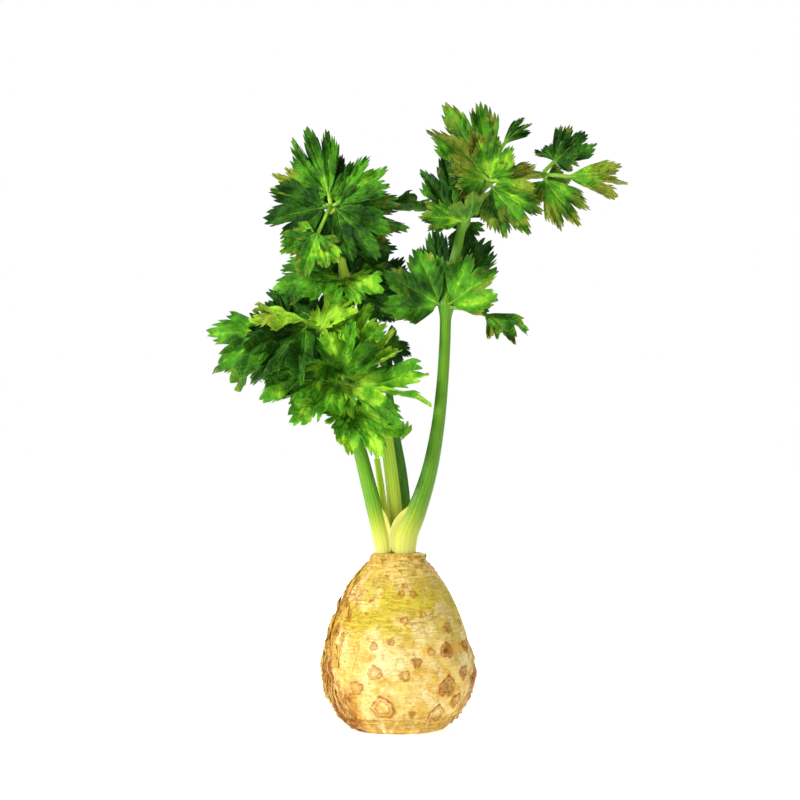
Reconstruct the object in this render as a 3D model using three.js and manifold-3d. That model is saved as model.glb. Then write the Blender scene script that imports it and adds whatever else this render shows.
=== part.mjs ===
// A celeriac: one swollen root that stands on a flat spot, five leaf stalks that rise from its crown,
// and the toothed leaflets that each stalk carries. Millimetres, +Z up, +X to the right, -Y to the front.
// The origin is the centre of the flat spot that the root stands on.
import * as THREE from "three";
import Module from "manifold-3d";

const manifold = await Module();
manifold.setup();

// Root
const ROOT_HEIGHT = 126.5;
const ROOT_RADIUS = 54.8;
const FOOT_RADIUS = 29;
const CROWN_RADIUS = 18.4;
const ROOT_SIDES = 40;
const LUMP = 0.88;
const LUMP_FADE_POWER = 0.6;

// Stalks
const CROWN_GAP = 0.4;
const STALK_SIDES = 10;
const STALK_STEP = 13;
const STALK_FLATNESS = 0.78;
const CHANNEL_SIDES = 0.8;
const CHANNEL_DEPTH = 0.35;
const LEAST_SLANT = 0.5;

// Leaflets
const BLADE_THICKNESS = 0.9;
const NECK_THICKNESS = 1.8;
const BLADE_RINGS = [0.24, 0.6, 1];
const SINUS_AT = 0.27;
const SIDE_LOBE_AT = 0.545;
const SIDE_LOBE_REACH = 0.92;
const EDGE_REACH = 0.66;
const LOBE_POWER = 0.9;
const NECK_HALF_WIDTH = 1.3;
const BLADE_ANGLES = [0, 0.14, SINUS_AT, 0.41, SIDE_LOBE_AT, 0.68, 0.82, 1];
const JOINT_CLEARANCE = 1.3;

const DEGREE = Math.PI / 180;
const BASE_Z = ROOT_HEIGHT + CROWN_GAP;

const material = (color, roughness) => new THREE.MeshStandardMaterial({ color, roughness, metalness: 0 });
const MATERIALS = {
  root: material(0xe2c27e, 0.75),
  stalk: material(0x86b83a, 0.4),
  dark: material(0x2c7a26, 0.45),
  mid: material(0x3f9a2c, 0.45),
  bright: material(0x6cc22c, 0.45),
  yellow: material(0xa9b43c, 0.5),
};

// The root's outline from the centre of its foot to the centre of its crown, as radius and height.
const ROOT_OUTLINE = [
  [0, 0],
  [FOOT_RADIUS, 0],
  [35.5, 2.6],
  [41.8, 8.5],
  [47.4, 16.5],
  [51.8, 26],
  [54.3, 36],
  [ROOT_RADIUS, 45],
  [53.6, 54],
  [50.8, 64],
  [47.5, 75],
  [43.4, 86],
  [38.8, 96.5],
  [33.2, 106.5],
  [26.6, 115.5],
  [21.4, 121.8],
  [CROWN_RADIUS, ROOT_HEIGHT],
  [0, ROOT_HEIGHT],
];

// How far the root's side stands out from the round shape: low bumps that fade towards the foot and the crown.
function rootLump(angle, height) {
  const share = height / ROOT_HEIGHT;
  const fade = Math.sin(Math.PI * Math.min(1, share * 1.1)) ** LUMP_FADE_POWER;
  const wave =
    Math.sin(3 * angle + 5 * share) + 0.7 * Math.sin(5 * angle - 7 * share + 1.3) + 0.5 * Math.cos(2 * angle);
  return LUMP * fade * wave;
}

function rootGeometry() {
  const outline = ROOT_OUTLINE.map(([radius, height]) => new THREE.Vector2(radius, height));
  const geometry = new THREE.LatheGeometry(outline, ROOT_SIDES).rotateX(Math.PI / 2);
  const place = geometry.attributes.position;
  for (let i = 0; i < place.count; i++) {
    const [x, y, z] = [place.getX(i), place.getY(i), place.getZ(i)];
    const radius = Math.hypot(x, y);
    if (radius < CROWN_RADIUS || z < 1 || z > ROOT_HEIGHT - 1) continue;
    const scale = 1 + rootLump(Math.atan2(y, x), z) / radius;
    place.setXYZ(i, x * scale, y * scale, z);
  }
  return geometry;
}

// Each stalk: the points of its middle line, its half width at each of them, and the way its round back
// faces. The points after the first few are the joints where its leaflets grow.
const STALKS = {
  right: {
    back: [0.35, -0.94, 0],
    halfWidth: [8.2, 8.6, 7.4, 6, 5, 4.4, 4.2, 4.1, 4, 3.7, 3.3, 2.8, 2.3],
    points: [
      [4.6, -7.5, BASE_Z],
      [5.8, -8, 139],
      [13, -8, 157],
      [21.6, -6.5, 183],
      [28, -5, 215],
      [31.5, -4, 246],
      [33.4, -3, 275],
      [34.6, -2, 305],
      [37.4, 1, 325],
      [42.5, 3, 346],
      [47.5, 4, 366],
      [56, 3, 382],
      [66, 1, 395],
    ],
  },
  left: {
    back: [-0.45, -0.9, 0],
    halfWidth: [5.8, 6.2, 6.2, 5.6, 5, 4.6, 4.4, 4.1, 3.4, 2.8, 2.2],
    points: [
      [-10.2, -7, BASE_Z],
      [-12.2, -7.6, 139],
      [-17, -7.5, 160],
      [-23, -7, 184],
      [-30, -6, 212],
      [-35.5, -5, 236],
      [-38.8, -4.8, 250],
      [-43.4, -4, 266],
      [-53, -3, 287],
      [-66, -4, 291],
      [-80, -7, 283],
    ],
  },
  centre: {
    back: [0.1, -1, 0],
    halfWidth: [5.6, 5.6, 5.2, 4.8, 4.5, 4.2, 3.9, 3.6, 3.3, 2.8, 2.2],
    points: [
      [-1.5, 4, BASE_Z],
      [-1.8, 4, 139],
      [-3, 4.2, 165],
      [-6.4, 4.2, 195],
      [-12, 5, 228],
      [-21, 7, 259],
      [-29, 8, 284],
      [-35, 8, 304],
      [-38.5, 7, 325],
      [-43, 5, 350],
      [-48.5, 3, 376],
    ],
  },
  back: {
    back: [0.3, 0.95, 0],
    halfWidth: [4.4, 4.4, 4, 3.6, 3.2, 2.8, 2.4, 2, 1.6],
    points: [
      [4.4, 13, BASE_Z],
      [5, 13.4, 138],
      [5.2, 14, 160],
      [2.6, 14.5, 186],
      [-1, 15, 207],
      [-5, 16, 232],
      [-9, 17, 256],
      [-14, 18, 282],
      [-20, 18, 306],
    ],
  },
  young: {
    back: [-0.6, 0.8, 0],
    halfWidth: [2.8, 3.1, 3.2, 2.9, 2.2],
    points: [
      [-7.8, 12.5, BASE_Z],
      [-8.4, 12.4, 138],
      [-10.4, 11.6, 158],
      [-12.6, 11, 176],
      [-15.4, 11, 196],
    ],
  },
};

// Side branches that grow from a stalk as one piece with it.
const BRANCHES = {
  right_branch: {
    stalk: "right",
    back: [0, -0.9, -0.4],
    halfWidth: [2, 1.9, 1.7, 1.5],
    points: [
      [65, 1.2, 393.5],
      [78, -1, 398],
      [92, 0, 401],
      [105, 1, 399.5],
    ],
  },
};

// A leaflet grows at a joint (a point of its stalk's middle line), from the stalk's side that 'from' points
// to. 'toward' is the way its midrib sets out and 'face' the way its upper side looks. Angles are in degrees:
// spread is the half angle of the fan, droop bends the blade away from its face, sweep bends it to its own
// right and cup lifts its sides towards the face. petiole is the share of its length that is a bare stem, cut
// the reach of the bays between its lobes, neck the share of its length over which the fan opens, and ruffle
// the height of its waves.
const LEAFLETS = {
  right_low_left: {
    line: "right", joint: 7, from: [-0.7, -0.7, 0], toward: [-0.85, -0.25, 0.5], face: [0.1, -1, 0.2],
    length: 48, spread: 66, droop: 14, cup: 20, color: "mid",
  },
  right_low_right: {
    line: "right", joint: 7, from: [0.4, -0.9, 0.1], toward: [0.76, -0.3, 0.6], face: [-0.2, -1, 0.3],
    length: 43, spread: 59, droop: 10, cup: 16, color: "mid",
  },
  right_low_drooping: {
    line: "right", joint: 7, from: [0.6, -0.7, -0.3], toward: [0.95, -0.3, 0], face: [-0.1, -0.6, 0.8],
    length: 62, spread: 42, petiole: 0.42, neck: 0.36, droop: 30, sweep: 54, cup: 10, color: "yellow",
  },
  right_low_back: {
    line: "right", joint: 7, from: [0, 1, 0.3], toward: [0.24, 0.25, 0.94], face: [-0.1, -1, 0.35],
    length: 64, spread: 40, droop: 10, color: "dark",
  },
  right_mid_left: {
    line: "right", joint: 10, from: [-0.62, -0.84, -0.02], toward: [-0.93, -0.38, 0.18],
    face: [0.1, -0.75, 0.65], length: 31, spread: 51, droop: 19, cup: 14, color: "bright",
  },
  right_mid_front: {
    line: "right", joint: 10, from: [0.3, -0.95, 0], toward: [0.25, -0.7, 0.35], face: [0, -0.55, 0.8],
    length: 30, spread: 64, droop: -30, cup: 30, color: "yellow",
  },
  right_mid_up: {
    line: "right", joint: 10, from: [-0.8, 0.5, 0.1], toward: [-0.2, 0.1, 0.95], face: [0.2, -1, 0.1],
    length: 50, spread: 46, droop: 12, cup: 12, color: "dark",
  },
  right_mid_back: {
    line: "right", joint: 10, from: [0.34, 0.9, 0.04], toward: [-0.12, 0.22, -0.74], face: [0, -1, 0.2],
    length: 26, spread: 40, droop: -12, color: "dark",
  },
  right_top: {
    line: "right", joint: 12, from: [-0.1, 0.3, 1], toward: [-0.52, 0.08, 0.86], face: [0.15, -1, 0.2],
    length: 60, spread: 44, droop: 12, cup: 14, color: "mid",
  },
  right_top_front: {
    line: "right", joint: 12, from: [-0.6, -0.8, 0.2], toward: [-0.66, -0.34, 0.66], face: [0.2, -1, 0.3],
    length: 44, spread: 40, droop: -18, cup: 16, color: "yellow",
  },
  right_top_heart: {
    line: "right", joint: 12, from: [0.1, -1, 0.3], toward: [0.1, -0.6, 0.75], face: [0, -0.9, 0.3],
    length: 34, spread: 46, droop: 20, cup: 14, color: "bright",
  },
  right_top_edge: {
    line: "right", joint: 12, from: [0.4, 0.9, 0.6], toward: [0.05, 0.1, 1], face: [0, -1, 0],
    length: 52, spread: 26, petiole: 0.5, neck: 0.42, sweep: 66, color: "dark",
  },
  right_side: {
    line: "right", joint: 12, from: [0.3, -1, 0], toward: [1, -0.3, 0.04], face: [0, -0.9, 0.45],
    length: 37, spread: 31, neck: 0.3, cut: 0.85, droop: 0, color: "yellow",
  },
  right_side_low: {
    line: "right", joint: 12, from: [0.2, -0.5, -1], toward: [0.6, -0.3, -0.76], face: [0, -1, 0.3],
    length: 46, spread: 44, droop: 10, cup: 20, color: "mid",
  },
  right_far_low: {
    line: "right_branch", joint: 3, from: [-0.1, -0.6, -0.9], toward: [0.56, -0.2, -0.78],
    face: [0, -1, -0.1], length: 44, spread: 35, droop: 12, cup: 20, color: "mid",
  },
  right_far_up: {
    line: "right_branch", joint: 3, from: [0.1, 0.6, 0.9], toward: [0.68, 0.3, 0.68], face: [-0.2, -1, 0.2],
    length: 48, spread: 42, petiole: 0.2, neck: 0.3, droop: 12, cup: 20, color: "dark",
  },
  right_far_curled: {
    line: "right_branch", joint: 3, from: [1, -0.4, -0.1], toward: [1, -0.22, -0.1], face: [0, -0.9, 0.5],
    length: 55, spread: 33, petiole: 0.2, neck: 0.3, droop: 6, cup: 26, ruffle: 0.06, color: "yellow",
  },

  centre_tip: {
    line: "centre", joint: 10, from: [-0.1, -0.3, 1], toward: [-0.3, -0.1, 0.94], face: [0.1, -1, 0.2],
    length: 53, spread: 31, droop: 14, cup: 16, color: "mid",
  },
  centre_tip_back: {
    line: "centre", joint: 10, from: [0.4, 1, 0.5], toward: [0.14, 0.3, 0.9], face: [0, -1, 0.3],
    length: 40, spread: 37, droop: 6, color: "dark",
  },
  centre_up_right: {
    line: "centre", joint: 10, from: [0.9, -0.2, 0.5], toward: [0.76, -0.1, 0.6], face: [-0.2, -1, 0.3],
    length: 46, spread: 37, droop: 14, cup: 14, color: "mid",
  },
  centre_up_left: {
    line: "centre", joint: 10, from: [-0.8, 0.4, 0.5], toward: [-0.84, 0.1, 0.5], face: [0.2, -1, 0.2],
    length: 46, spread: 24, droop: 10, color: "bright",
  },
  centre_left: {
    line: "centre", joint: 10, from: [-1, -0.3, 0], toward: [-0.96, -0.25, -0.18], face: [0.1, -1, 0.3],
    length: 46, spread: 53, droop: 14, cup: 12, color: "dark",
  },
  centre_hanging: {
    line: "centre", joint: 10, from: [-0.2, -1, -0.2], toward: [-0.36, -0.5, -0.84], face: [0, -0.9, 0.4],
    length: 58, spread: 66, petiole: 0.38, neck: 0.3, droop: 10, cup: 20, color: "bright",
  },
  centre_low_front: {
    line: "centre", joint: 10, from: [1, -0.5, -0.2], toward: [0.64, -0.4, -0.7], face: [0, -1, 0.4],
    length: 50, spread: 44, droop: 14, cup: 10, color: "dark",
  },
  centre_far_right: {
    line: "centre", joint: 10, from: [1, 0.4, -0.1], toward: [0.93, 0.1, -0.28], face: [0, -1, 0.2],
    length: 54, spread: 37, droop: 10, color: "dark",
  },
  centre_slender: {
    line: "centre", joint: 10, from: [0.3, 1.6, 0.1], toward: [0.93, 0.42, 0.06], face: [0, -0.3, 1],
    length: 78, spread: 18, petiole: 0.3, neck: 0.5, color: "dark",
  },
  centre_second_right: {
    line: "centre", joint: 8, from: [1, 0.3, 0], toward: [0.82, 0.2, -0.4], face: [0, -1, 0.2],
    length: 42, spread: 53, droop: 12, color: "dark",
  },
  centre_second_front: {
    line: "centre", joint: 8, from: [0.2, -1, 0], toward: [0.21, -0.88, -0.33], face: [0, -0.8, 0.6],
    length: 42, spread: 58, droop: 25, cup: 10, color: "mid",
  },
  centre_second_left: {
    line: "centre", joint: 8, from: [-1, -0.4, 0], toward: [-0.9, -0.3, 0], face: [0, -0.7, 0.7],
    length: 48, spread: 53, droop: 34, cup: 10, color: "mid",
  },
  centre_second_back: {
    line: "centre", joint: 8, from: [0, 1, 0.1], toward: [-0.6, 0.75, 0.25], face: [0, -0.2, 1],
    length: 44, spread: 51, droop: 24, cup: 10, color: "mid",
  },
  centre_middle_right: {
    line: "centre", joint: 9, from: [0.75, 0.94, -0.1], toward: [0.56, 0.29, -0.34], face: [0, -1, 0.3],
    length: 45, spread: 45, droop: -14, color: "dark",
  },

  left_up_bright: {
    line: "left", joint: 8, from: [-0.49, -1.21, 0.25], toward: [0.4, -0.34, 0.64], face: [-0.4, -0.8, 0.5],
    length: 36, spread: 43, droop: 43, cup: 10, color: "bright",
  },
  left_down_bright: {
    line: "left", joint: 8, from: [0.29, -0.98, -0.08], toward: [0.61, -0.48, 0.17], face: [0, -0.7, 0.7],
    length: 28, spread: 36, droop: 58, cup: 10, color: "bright",
  },
  left_up_dark: {
    line: "left", joint: 8, from: [-0.2, 0.6, 0.9], toward: [-0.84, 0.25, 0.5], face: [0.1, -1, 0.3],
    length: 48, spread: 46, droop: 10, color: "dark",
  },
  left_olive: {
    line: "left", joint: 9, from: [0, -0.8, 0.7], toward: [-0.93, -0.4, 0.2], face: [0, -0.5, 0.9],
    length: 42, spread: 37, droop: 24, cup: -12, color: "yellow",
  },
  left_far: {
    line: "left", joint: 10, from: [-1, -0.2, 0], toward: [-0.9, -0.2, -0.3], face: [0, -0.8, 0.6],
    length: 54, spread: 59, droop: 40, cup: 20, color: "mid",
  },
  left_far_low: {
    line: "left", joint: 10, from: [-0.6, 0.23, -0.77], toward: [-0.22, 0.47, -0.8], face: [0, -0.9, 0.4],
    length: 47, spread: 41, droop: 16, color: "dark",
  },
  left_far_up: {
    line: "left", joint: 10, from: [-0.4, 0.5, 0.9], toward: [-0.55, 0.4, 0.7], face: [0, -1, 0.4],
    length: 34, spread: 46, droop: 12, color: "dark",
  },
  left_front_dark: {
    line: "left", joint: 9, from: [0.2, -1, -0.4], toward: [-0.54, -0.72, -0.52], face: [0, -0.7, 0.7],
    length: 58, spread: 51, droop: 26, cup: 24, color: "dark",
  },
  left_low: {
    line: "left", joint: 7, from: [-0.9, -0.6, 0], toward: [-0.85, -0.4, -0.4], face: [0, -0.7, 0.7],
    length: 58, spread: 42, droop: 24, color: "mid",
  },
  left_low_front: {
    line: "left", joint: 6, from: [-0.7, -0.9, 0], toward: [-0.6, -0.6, -0.26], face: [0, -0.6, 0.8],
    length: 50, spread: 53, droop: 46, cup: 12, color: "bright",
  },
  left_low_back: {
    line: "left", joint: 7, from: [0.1, 1, 0], toward: [-0.5, 0.8, 0.1], face: [0, -0.2, 1],
    length: 48, spread: 48, droop: 26, color: "mid",
  },
  left_inner_front: {
    line: "left", joint: 6, from: [-0.2, -1.01, 0.3], toward: [0.14, -0.44, 0.78], face: [0, -0.9, 0.5],
    length: 46, spread: 48, droop: 4, cup: 12, color: "mid",
  },
  left_inner_up: {
    line: "left", joint: 7, from: [0.39, -0.72, 0.24], toward: [0.45, -0.16, 0.91], face: [-0.1, -0.9, 0.4],
    length: 45, spread: 46, droop: 26, color: "dark",
  },
  left_mid_yellow: {
    line: "left", joint: 6, from: [0.8, 0.1, 0.7], toward: [0.68, -0.16, 0.72], face: [-0.2, -0.8, 0.5],
    length: 46, spread: 32, droop: 10, cup: 2, color: "yellow",
  },
  left_bottom_right: {
    line: "left", joint: 6, from: [0.4, -1, -0.4], toward: [0.9, -0.56, -0.12], face: [0, -0.8, 0.6],
    length: 68, spread: 40, cut: 0.55, droop: 16, cup: 10, color: "bright",
  },
  left_bottom: {
    line: "left", joint: 5, from: [0.3, -1, -0.3], toward: [0.44, -0.6, -0.66], face: [0.1, -0.8, 0.6],
    length: 50, spread: 55, droop: 20, cup: 12, color: "bright",
  },

  back_right: {
    line: "back", joint: 8, from: [0.9, 0.2, 0.3], toward: [0.9, 0.35, -0.15], face: [0, -1, 0.3],
    length: 22, spread: 57, droop: 10, color: "dark",
  },
  back_up: {
    line: "back", joint: 8, from: [0.1, 0.2, 1], toward: [0.2, 0.2, 0.95], face: [0, -1, 0.2],
    length: 42, spread: 51, droop: 8, color: "dark",
  },
  back_low_right: {
    line: "back", joint: 7, from: [0.9, 0.3, 0.1], toward: [0.5, 0.25, -0.75], face: [0, -1, 0.3],
    length: 28, spread: 46, droop: 12, color: "dark",
  },
  back_behind: {
    line: "back", joint: 7, from: [-0.02, 1.01, 0.06], toward: [0.19, 0.69, -0.48], face: [0, -0.1, 1],
    length: 30, spread: 49, droop: 30, color: "mid",
  },
  back_small: {
    line: "back", joint: 4, from: [0.9, -0.2, 0.3], toward: [0.3, -0.1, 0.95], face: [-0.2, -1, 0],
    length: 14, spread: 29, color: "bright",
  },
  young_tip: {
    line: "young", joint: 4, from: [0, 0, 1], toward: [-0.1, 0, 1], face: [0, -1, 0],
    length: 26, spread: 26, color: "bright",
  },
};

// The blade's reach across the fan, as a share of its length: a middle lobe, and a bay and a lobe each side.
function lobedReach(share, cut) {
  const away = Math.abs(share);
  if (away < SINUS_AT) return cut + (1 - cut) * (1 - away / SINUS_AT) ** LOBE_POWER;
  if (away < SIDE_LOBE_AT) {
    const climb = (away - SINUS_AT) / (SIDE_LOBE_AT - SINUS_AT);
    return cut + (SIDE_LOBE_REACH - cut) * climb ** LOBE_POWER;
  }
  const fall = (away - SIDE_LOBE_AT) / (1 - SIDE_LOBE_AT);
  return SIDE_LOBE_REACH - (SIDE_LOBE_REACH - EDGE_REACH) * fall;
}

// Bends a point along an arc that turns by 'turn' radians over 'length': returns the place along and across.
function bendArc(along, across, turn, length) {
  if (Math.abs(turn) < 1e-4) return [along, across];
  const rate = turn / length;
  const angle = rate * along;
  return [
    Math.sin(angle) / rate + across * Math.sin(angle),
    -(1 - Math.cos(angle)) / rate + across * Math.cos(angle),
  ];
}

// The leaflet's middle surface: share is -1 to 1 across the fan, ring 0 to 1 from the fan's base to its edge.
// Below the fan the petiole is a narrow strip, and ring -1 is where it meets the fan.
function bladePoint(leaf, share, ring) {
  const { length, spread, cut = 0.76, petiole = 0, neck = 0.42, ruffle = 0.035 } = leaf;
  const { droop = 0, sweep = 0, cup = 0 } = leaf;
  const blade = length * (1 - petiole);
  const reach = Math.max(0, ring) * lobedReach(share, cut) * blade;
  const q = reach / blade;
  const open = THREE.MathUtils.smoothstep(q, 0, neck);
  const angle = share * spread * DEGREE;
  const strip = share * Math.min(NECK_HALF_WIDTH, reach + length * petiole);
  let x = THREE.MathUtils.lerp(strip, reach * Math.sin(angle), open);
  let y = length * petiole + THREE.MathUtils.lerp(reach, reach * Math.cos(angle), open);
  let z = ruffle * length * q * q * Math.sin(2 * Math.PI * share);
  [x, z] = bendArc(x, z, -cup * DEGREE, length * 0.5);
  [y, x] = bendArc(y, x, -sweep * DEGREE, length);
  [y, z] = bendArc(y, z, droop * DEGREE, length);
  return new THREE.Vector3(x, y, z);
}

// A thin closed solid: the upper and lower skins of the blade, and the rim that joins them.
function leafletGeometry(leaf) {
  const shares = [...BLADE_ANGLES.slice(1).reverse().map((a) => -a), ...BLADE_ANGLES];
  const columns = shares.length;
  const rings = leaf.petiole ? [-1, ...BLADE_RINGS] : BLADE_RINGS;
  const middle = [bladePoint({ ...leaf, petiole: 0 }, 0, 0)];
  for (const ring of rings) for (const share of shares) middle.push(bladePoint(leaf, share, ring));
  const at = (ring, column) => 1 + ring * columns + column;
  const upper = [];
  for (let c = 0; c + 1 < columns; c++) {
    upper.push([0, at(0, c + 1), at(0, c)]);
    for (let r = 0; r + 1 < rings.length; r++) {
      upper.push([at(r, c), at(r, c + 1), at(r + 1, c + 1)], [at(r, c), at(r + 1, c + 1), at(r + 1, c)]);
    }
  }
  const sheet = new THREE.BufferGeometry().setFromPoints(middle);
  sheet.setIndex(upper.flat());
  sheet.computeVertexNormals();
  const normals = sheet.attributes.normal;
  const points = [];
  for (const side of [0.5, -0.5]) {
    middle.forEach((point, i) => {
      const thickness = i === 0 ? NECK_THICKNESS : BLADE_THICKNESS;
      const normal = new THREE.Vector3().fromBufferAttribute(normals, i);
      points.push(normal.multiplyScalar(side * thickness).add(point));
    });
  }
  const lower = middle.length;
  const last = rings.length - 1;
  const rim = [0];
  for (let r = 0; r <= last; r++) rim.push(at(r, columns - 1));
  for (let c = columns - 2; c >= 0; c--) rim.push(at(last, c));
  for (let r = last - 1; r >= 0; r--) rim.push(at(r, 0));
  const faces = [...upper, ...upper.map(([a, b, c]) => [a + lower, c + lower, b + lower])];
  rim.forEach((a, i) => {
    const b = rim[(i + 1) % rim.length];
    faces.push([b, a, a + lower], [b, a + lower, b + lower]);
  });
  const solid = new THREE.BufferGeometry().setFromPoints(points);
  solid.setIndex(faces.flat());
  return solid;
}

const middleLine = (stalk) =>
  new THREE.CatmullRomCurve3(stalk.points.map((point) => new THREE.Vector3(...point)), false, "centripetal");

function halfWidthAt(stalk, t) {
  const place = t * (stalk.halfWidth.length - 1);
  const before = Math.min(Math.floor(place), stalk.halfWidth.length - 2);
  return THREE.MathUtils.lerp(stalk.halfWidth[before], stalk.halfWidth[before + 1], place - before);
}

// A tapering stalk: sections of a rounded back and a shallow channel, joined from the crown to the tip.
function stalkGeometry(stalk) {
  const line = middleLine(stalk);
  const steps = Math.ceil(line.getLength() / STALK_STEP);
  const back = new THREE.Vector3(...stalk.back).normalize();
  const points = [];
  for (let i = 0; i <= steps; i++) {
    const t = i / steps;
    const middle = line.getPoint(t);
    const along = i === 0 ? new THREE.Vector3(0, 0, 1) : line.getTangent(t);
    const across = new THREE.Vector3().crossVectors(back, along).normalize();
    const outward = new THREE.Vector3().crossVectors(along, across).normalize();
    const width = halfWidthAt(stalk, t);
    for (let side = 0; side < STALK_SIDES; side++) {
      const angle = (2 * Math.PI * side) / STALK_SIDES;
      const cos = Math.cos(angle);
      const depth = cos > 0 ? cos : cos * (CHANNEL_SIDES - CHANNEL_DEPTH * cos * cos);
      points.push(
        middle
          .clone()
          .addScaledVector(across, width * Math.sin(angle))
          .addScaledVector(outward, width * STALK_FLATNESS * depth),
      );
    }
  }
  points.push(line.getPoint(0), line.getPoint(1));
  const faces = [];
  const at = (ring, side) => ring * STALK_SIDES + (side % STALK_SIDES);
  for (let side = 0; side < STALK_SIDES; side++) {
    for (let ring = 0; ring < steps; ring++) {
      faces.push([at(ring, side), at(ring + 1, side + 1), at(ring, side + 1)]);
      faces.push([at(ring, side), at(ring + 1, side), at(ring + 1, side + 1)]);
    }
    faces.push([points.length - 2, at(0, side), at(0, side + 1)]);
    faces.push([points.length - 1, at(steps, side + 1), at(steps, side)]);
  }
  const geometry = new THREE.BufferGeometry().setFromPoints(points);
  geometry.setIndex(faces.flat());
  return geometry;
}

function named(name, geometry, look) {
  const mesh = new THREE.Mesh(geometry, look);
  mesh.name = name;
  return mesh;
}

const lineNamed = (name) => STALKS[name] ?? BRANCHES[name];

// A stalk and the branches that grow from it, as one closed solid.
function branchedGeometry(name) {
  const parts = [stalkGeometry(STALKS[name])];
  for (const branch of Object.values(BRANCHES)) if (branch.stalk === name) parts.push(stalkGeometry(branch));
  if (parts.length === 1) return parts[0];
  const solids = parts.map(
    (part) =>
      new manifold.Manifold(
        new manifold.Mesh({
          numProp: 3,
          vertProperties: part.attributes.position.array,
          triVerts: new Uint32Array(part.index.array),
        }),
      ),
  );
  const joined = manifold.Manifold.union(solids).getMesh();
  const geometry = new THREE.BufferGeometry();
  geometry.setAttribute("position", new THREE.BufferAttribute(joined.vertProperties, 3));
  geometry.setIndex(Array.from(joined.triVerts));
  return geometry;
}

// Places a leaflet: +Y of its own frame is its midrib, +Z its face, and its base stands clear of the stalk.
function placeLeaflet(name, leaf) {
  const stalk = lineNamed(leaf.line);
  const t = leaf.joint / (stalk.points.length - 1);
  const along = middleLine(stalk).getTangent(t);
  const from = new THREE.Vector3(...leaf.from).normalize();
  const square = Math.max(LEAST_SLANT, Math.sin(along.angleTo(from)));
  const offset = (halfWidthAt(stalk, t) + JOINT_CLEARANCE) / square;
  const base = new THREE.Vector3(...stalk.points[leaf.joint]).addScaledVector(from, offset);
  const midrib = new THREE.Vector3(...leaf.toward).normalize();
  const side = new THREE.Vector3().crossVectors(midrib, new THREE.Vector3(...leaf.face)).normalize();
  const face = new THREE.Vector3().crossVectors(side, midrib);
  const mesh = named(name, leafletGeometry(leaf), MATERIALS[leaf.color]);
  mesh.applyMatrix4(new THREE.Matrix4().makeBasis(side, midrib, face).setPosition(base));
  return mesh;
}

const celeriac = new THREE.Group();
celeriac.add(named("root", rootGeometry(), MATERIALS.root));
for (const name of Object.keys(STALKS)) {
  celeriac.add(named(`${name}_stalk`, branchedGeometry(name), MATERIALS.stalk));
}
for (const [name, leaf] of Object.entries(LEAFLETS)) celeriac.add(placeLeaflet(name, leaf));

export default celeriac;
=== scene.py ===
"""A celeriac with its stalks and leaves: the visual model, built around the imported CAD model.

Metres, +Z up, -Y to the front. The root, each stalk and each leaflet is shaped by the rules that its CAD
solid follows, and shown in that solid's place. Each leaflet is also moved onto the box of its solid.
"""

import math

import bpy
import numpy as np
from mathutils import Matrix, Vector


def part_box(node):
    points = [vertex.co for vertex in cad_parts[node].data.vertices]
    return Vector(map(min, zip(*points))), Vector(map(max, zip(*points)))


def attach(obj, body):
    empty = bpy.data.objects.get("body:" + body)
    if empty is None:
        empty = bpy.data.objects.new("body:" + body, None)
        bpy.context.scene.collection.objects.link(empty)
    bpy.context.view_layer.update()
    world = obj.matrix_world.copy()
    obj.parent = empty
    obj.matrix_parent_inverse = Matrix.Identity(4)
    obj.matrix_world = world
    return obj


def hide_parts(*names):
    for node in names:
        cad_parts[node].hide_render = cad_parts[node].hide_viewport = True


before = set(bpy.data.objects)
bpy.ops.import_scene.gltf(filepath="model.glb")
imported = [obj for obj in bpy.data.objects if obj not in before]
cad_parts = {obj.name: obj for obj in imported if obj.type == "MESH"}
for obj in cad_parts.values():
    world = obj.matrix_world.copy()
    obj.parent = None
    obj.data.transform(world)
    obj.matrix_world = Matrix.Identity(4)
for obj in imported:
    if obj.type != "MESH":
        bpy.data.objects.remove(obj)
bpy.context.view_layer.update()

MM = 0.001
RANDOM_SEED = 20

# Camera: level, straight in front, in metres
CAMERA_DISTANCE = 1.8
CAMERA_HEIGHT = 0.237
CAMERA_RIGHT = 0.0014
VIEW_WIDTH = 0.576

# Root, in millimetres
ROOT_HEIGHT = 126.5
ROOT_RADIUS = 54.8
FOOT_RADIUS = 29
CROWN_RADIUS = 18.4
LUMP = 0.88
RELIEF_SINK = 0.9
ROOT_SIDES = 480
ROOT_RINGS = 300
OUTLINE_STEPS = 600
# Heights between which the shoulders' wrinkles begin, the layered foot ends, and the worn left side ends
SHOULDER_START = (52, 84)
SKIRT_END = (9, 17)
WORN_END = (84, 112)
SKIRT_LAYER = 3.6
SCAR_COUNT = 90
HAIR_COUNT = 170
HAIR_STEPS = 18
SCALE_COUNT = 60
FLAKE_COUNT = 34

# Stalks, in millimetres
CROWN_GAP = 0.4
BASE_Z = ROOT_HEIGHT + CROWN_GAP
STALK_SIDES = 80
STALK_STEP = 1.6
STALK_FLATNESS = 0.78
STALK_RIBS = 15
RIB_HEIGHT = 0.045
CHANNEL_DEPTH = 0.34
KNOT_SWELL = 0.13
KNOT_LENGTH = 5
TIP_LENGTH = 2.5
# A height above the crown where a stalk has none of its foot's pale colour left
FAR_UP = 200

# Leaflets, in millimetres
JOINT_CLEARANCE = 1.3
NECK_HALF_WIDTH = 1.3
SINUS_AT = 0.27
SIDE_LOBE_AT = 0.545
SIDE_LOBE_REACH = 0.92
EDGE_REACH = 0.66
LOBE_POWER = 0.9
TOOTH_GROUPS = 11
TEETH_IN_GROUP = 2
BLADE_RINGS = 30
EAR_RINGS = 18
BLADE_THICKNESS = 0.5
FOOT_THICKNESS = 1.5
NECK_SIDES = 10
SIDE_VEINS = 9
SIDE_VEIN_SLANT = 1.25

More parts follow.
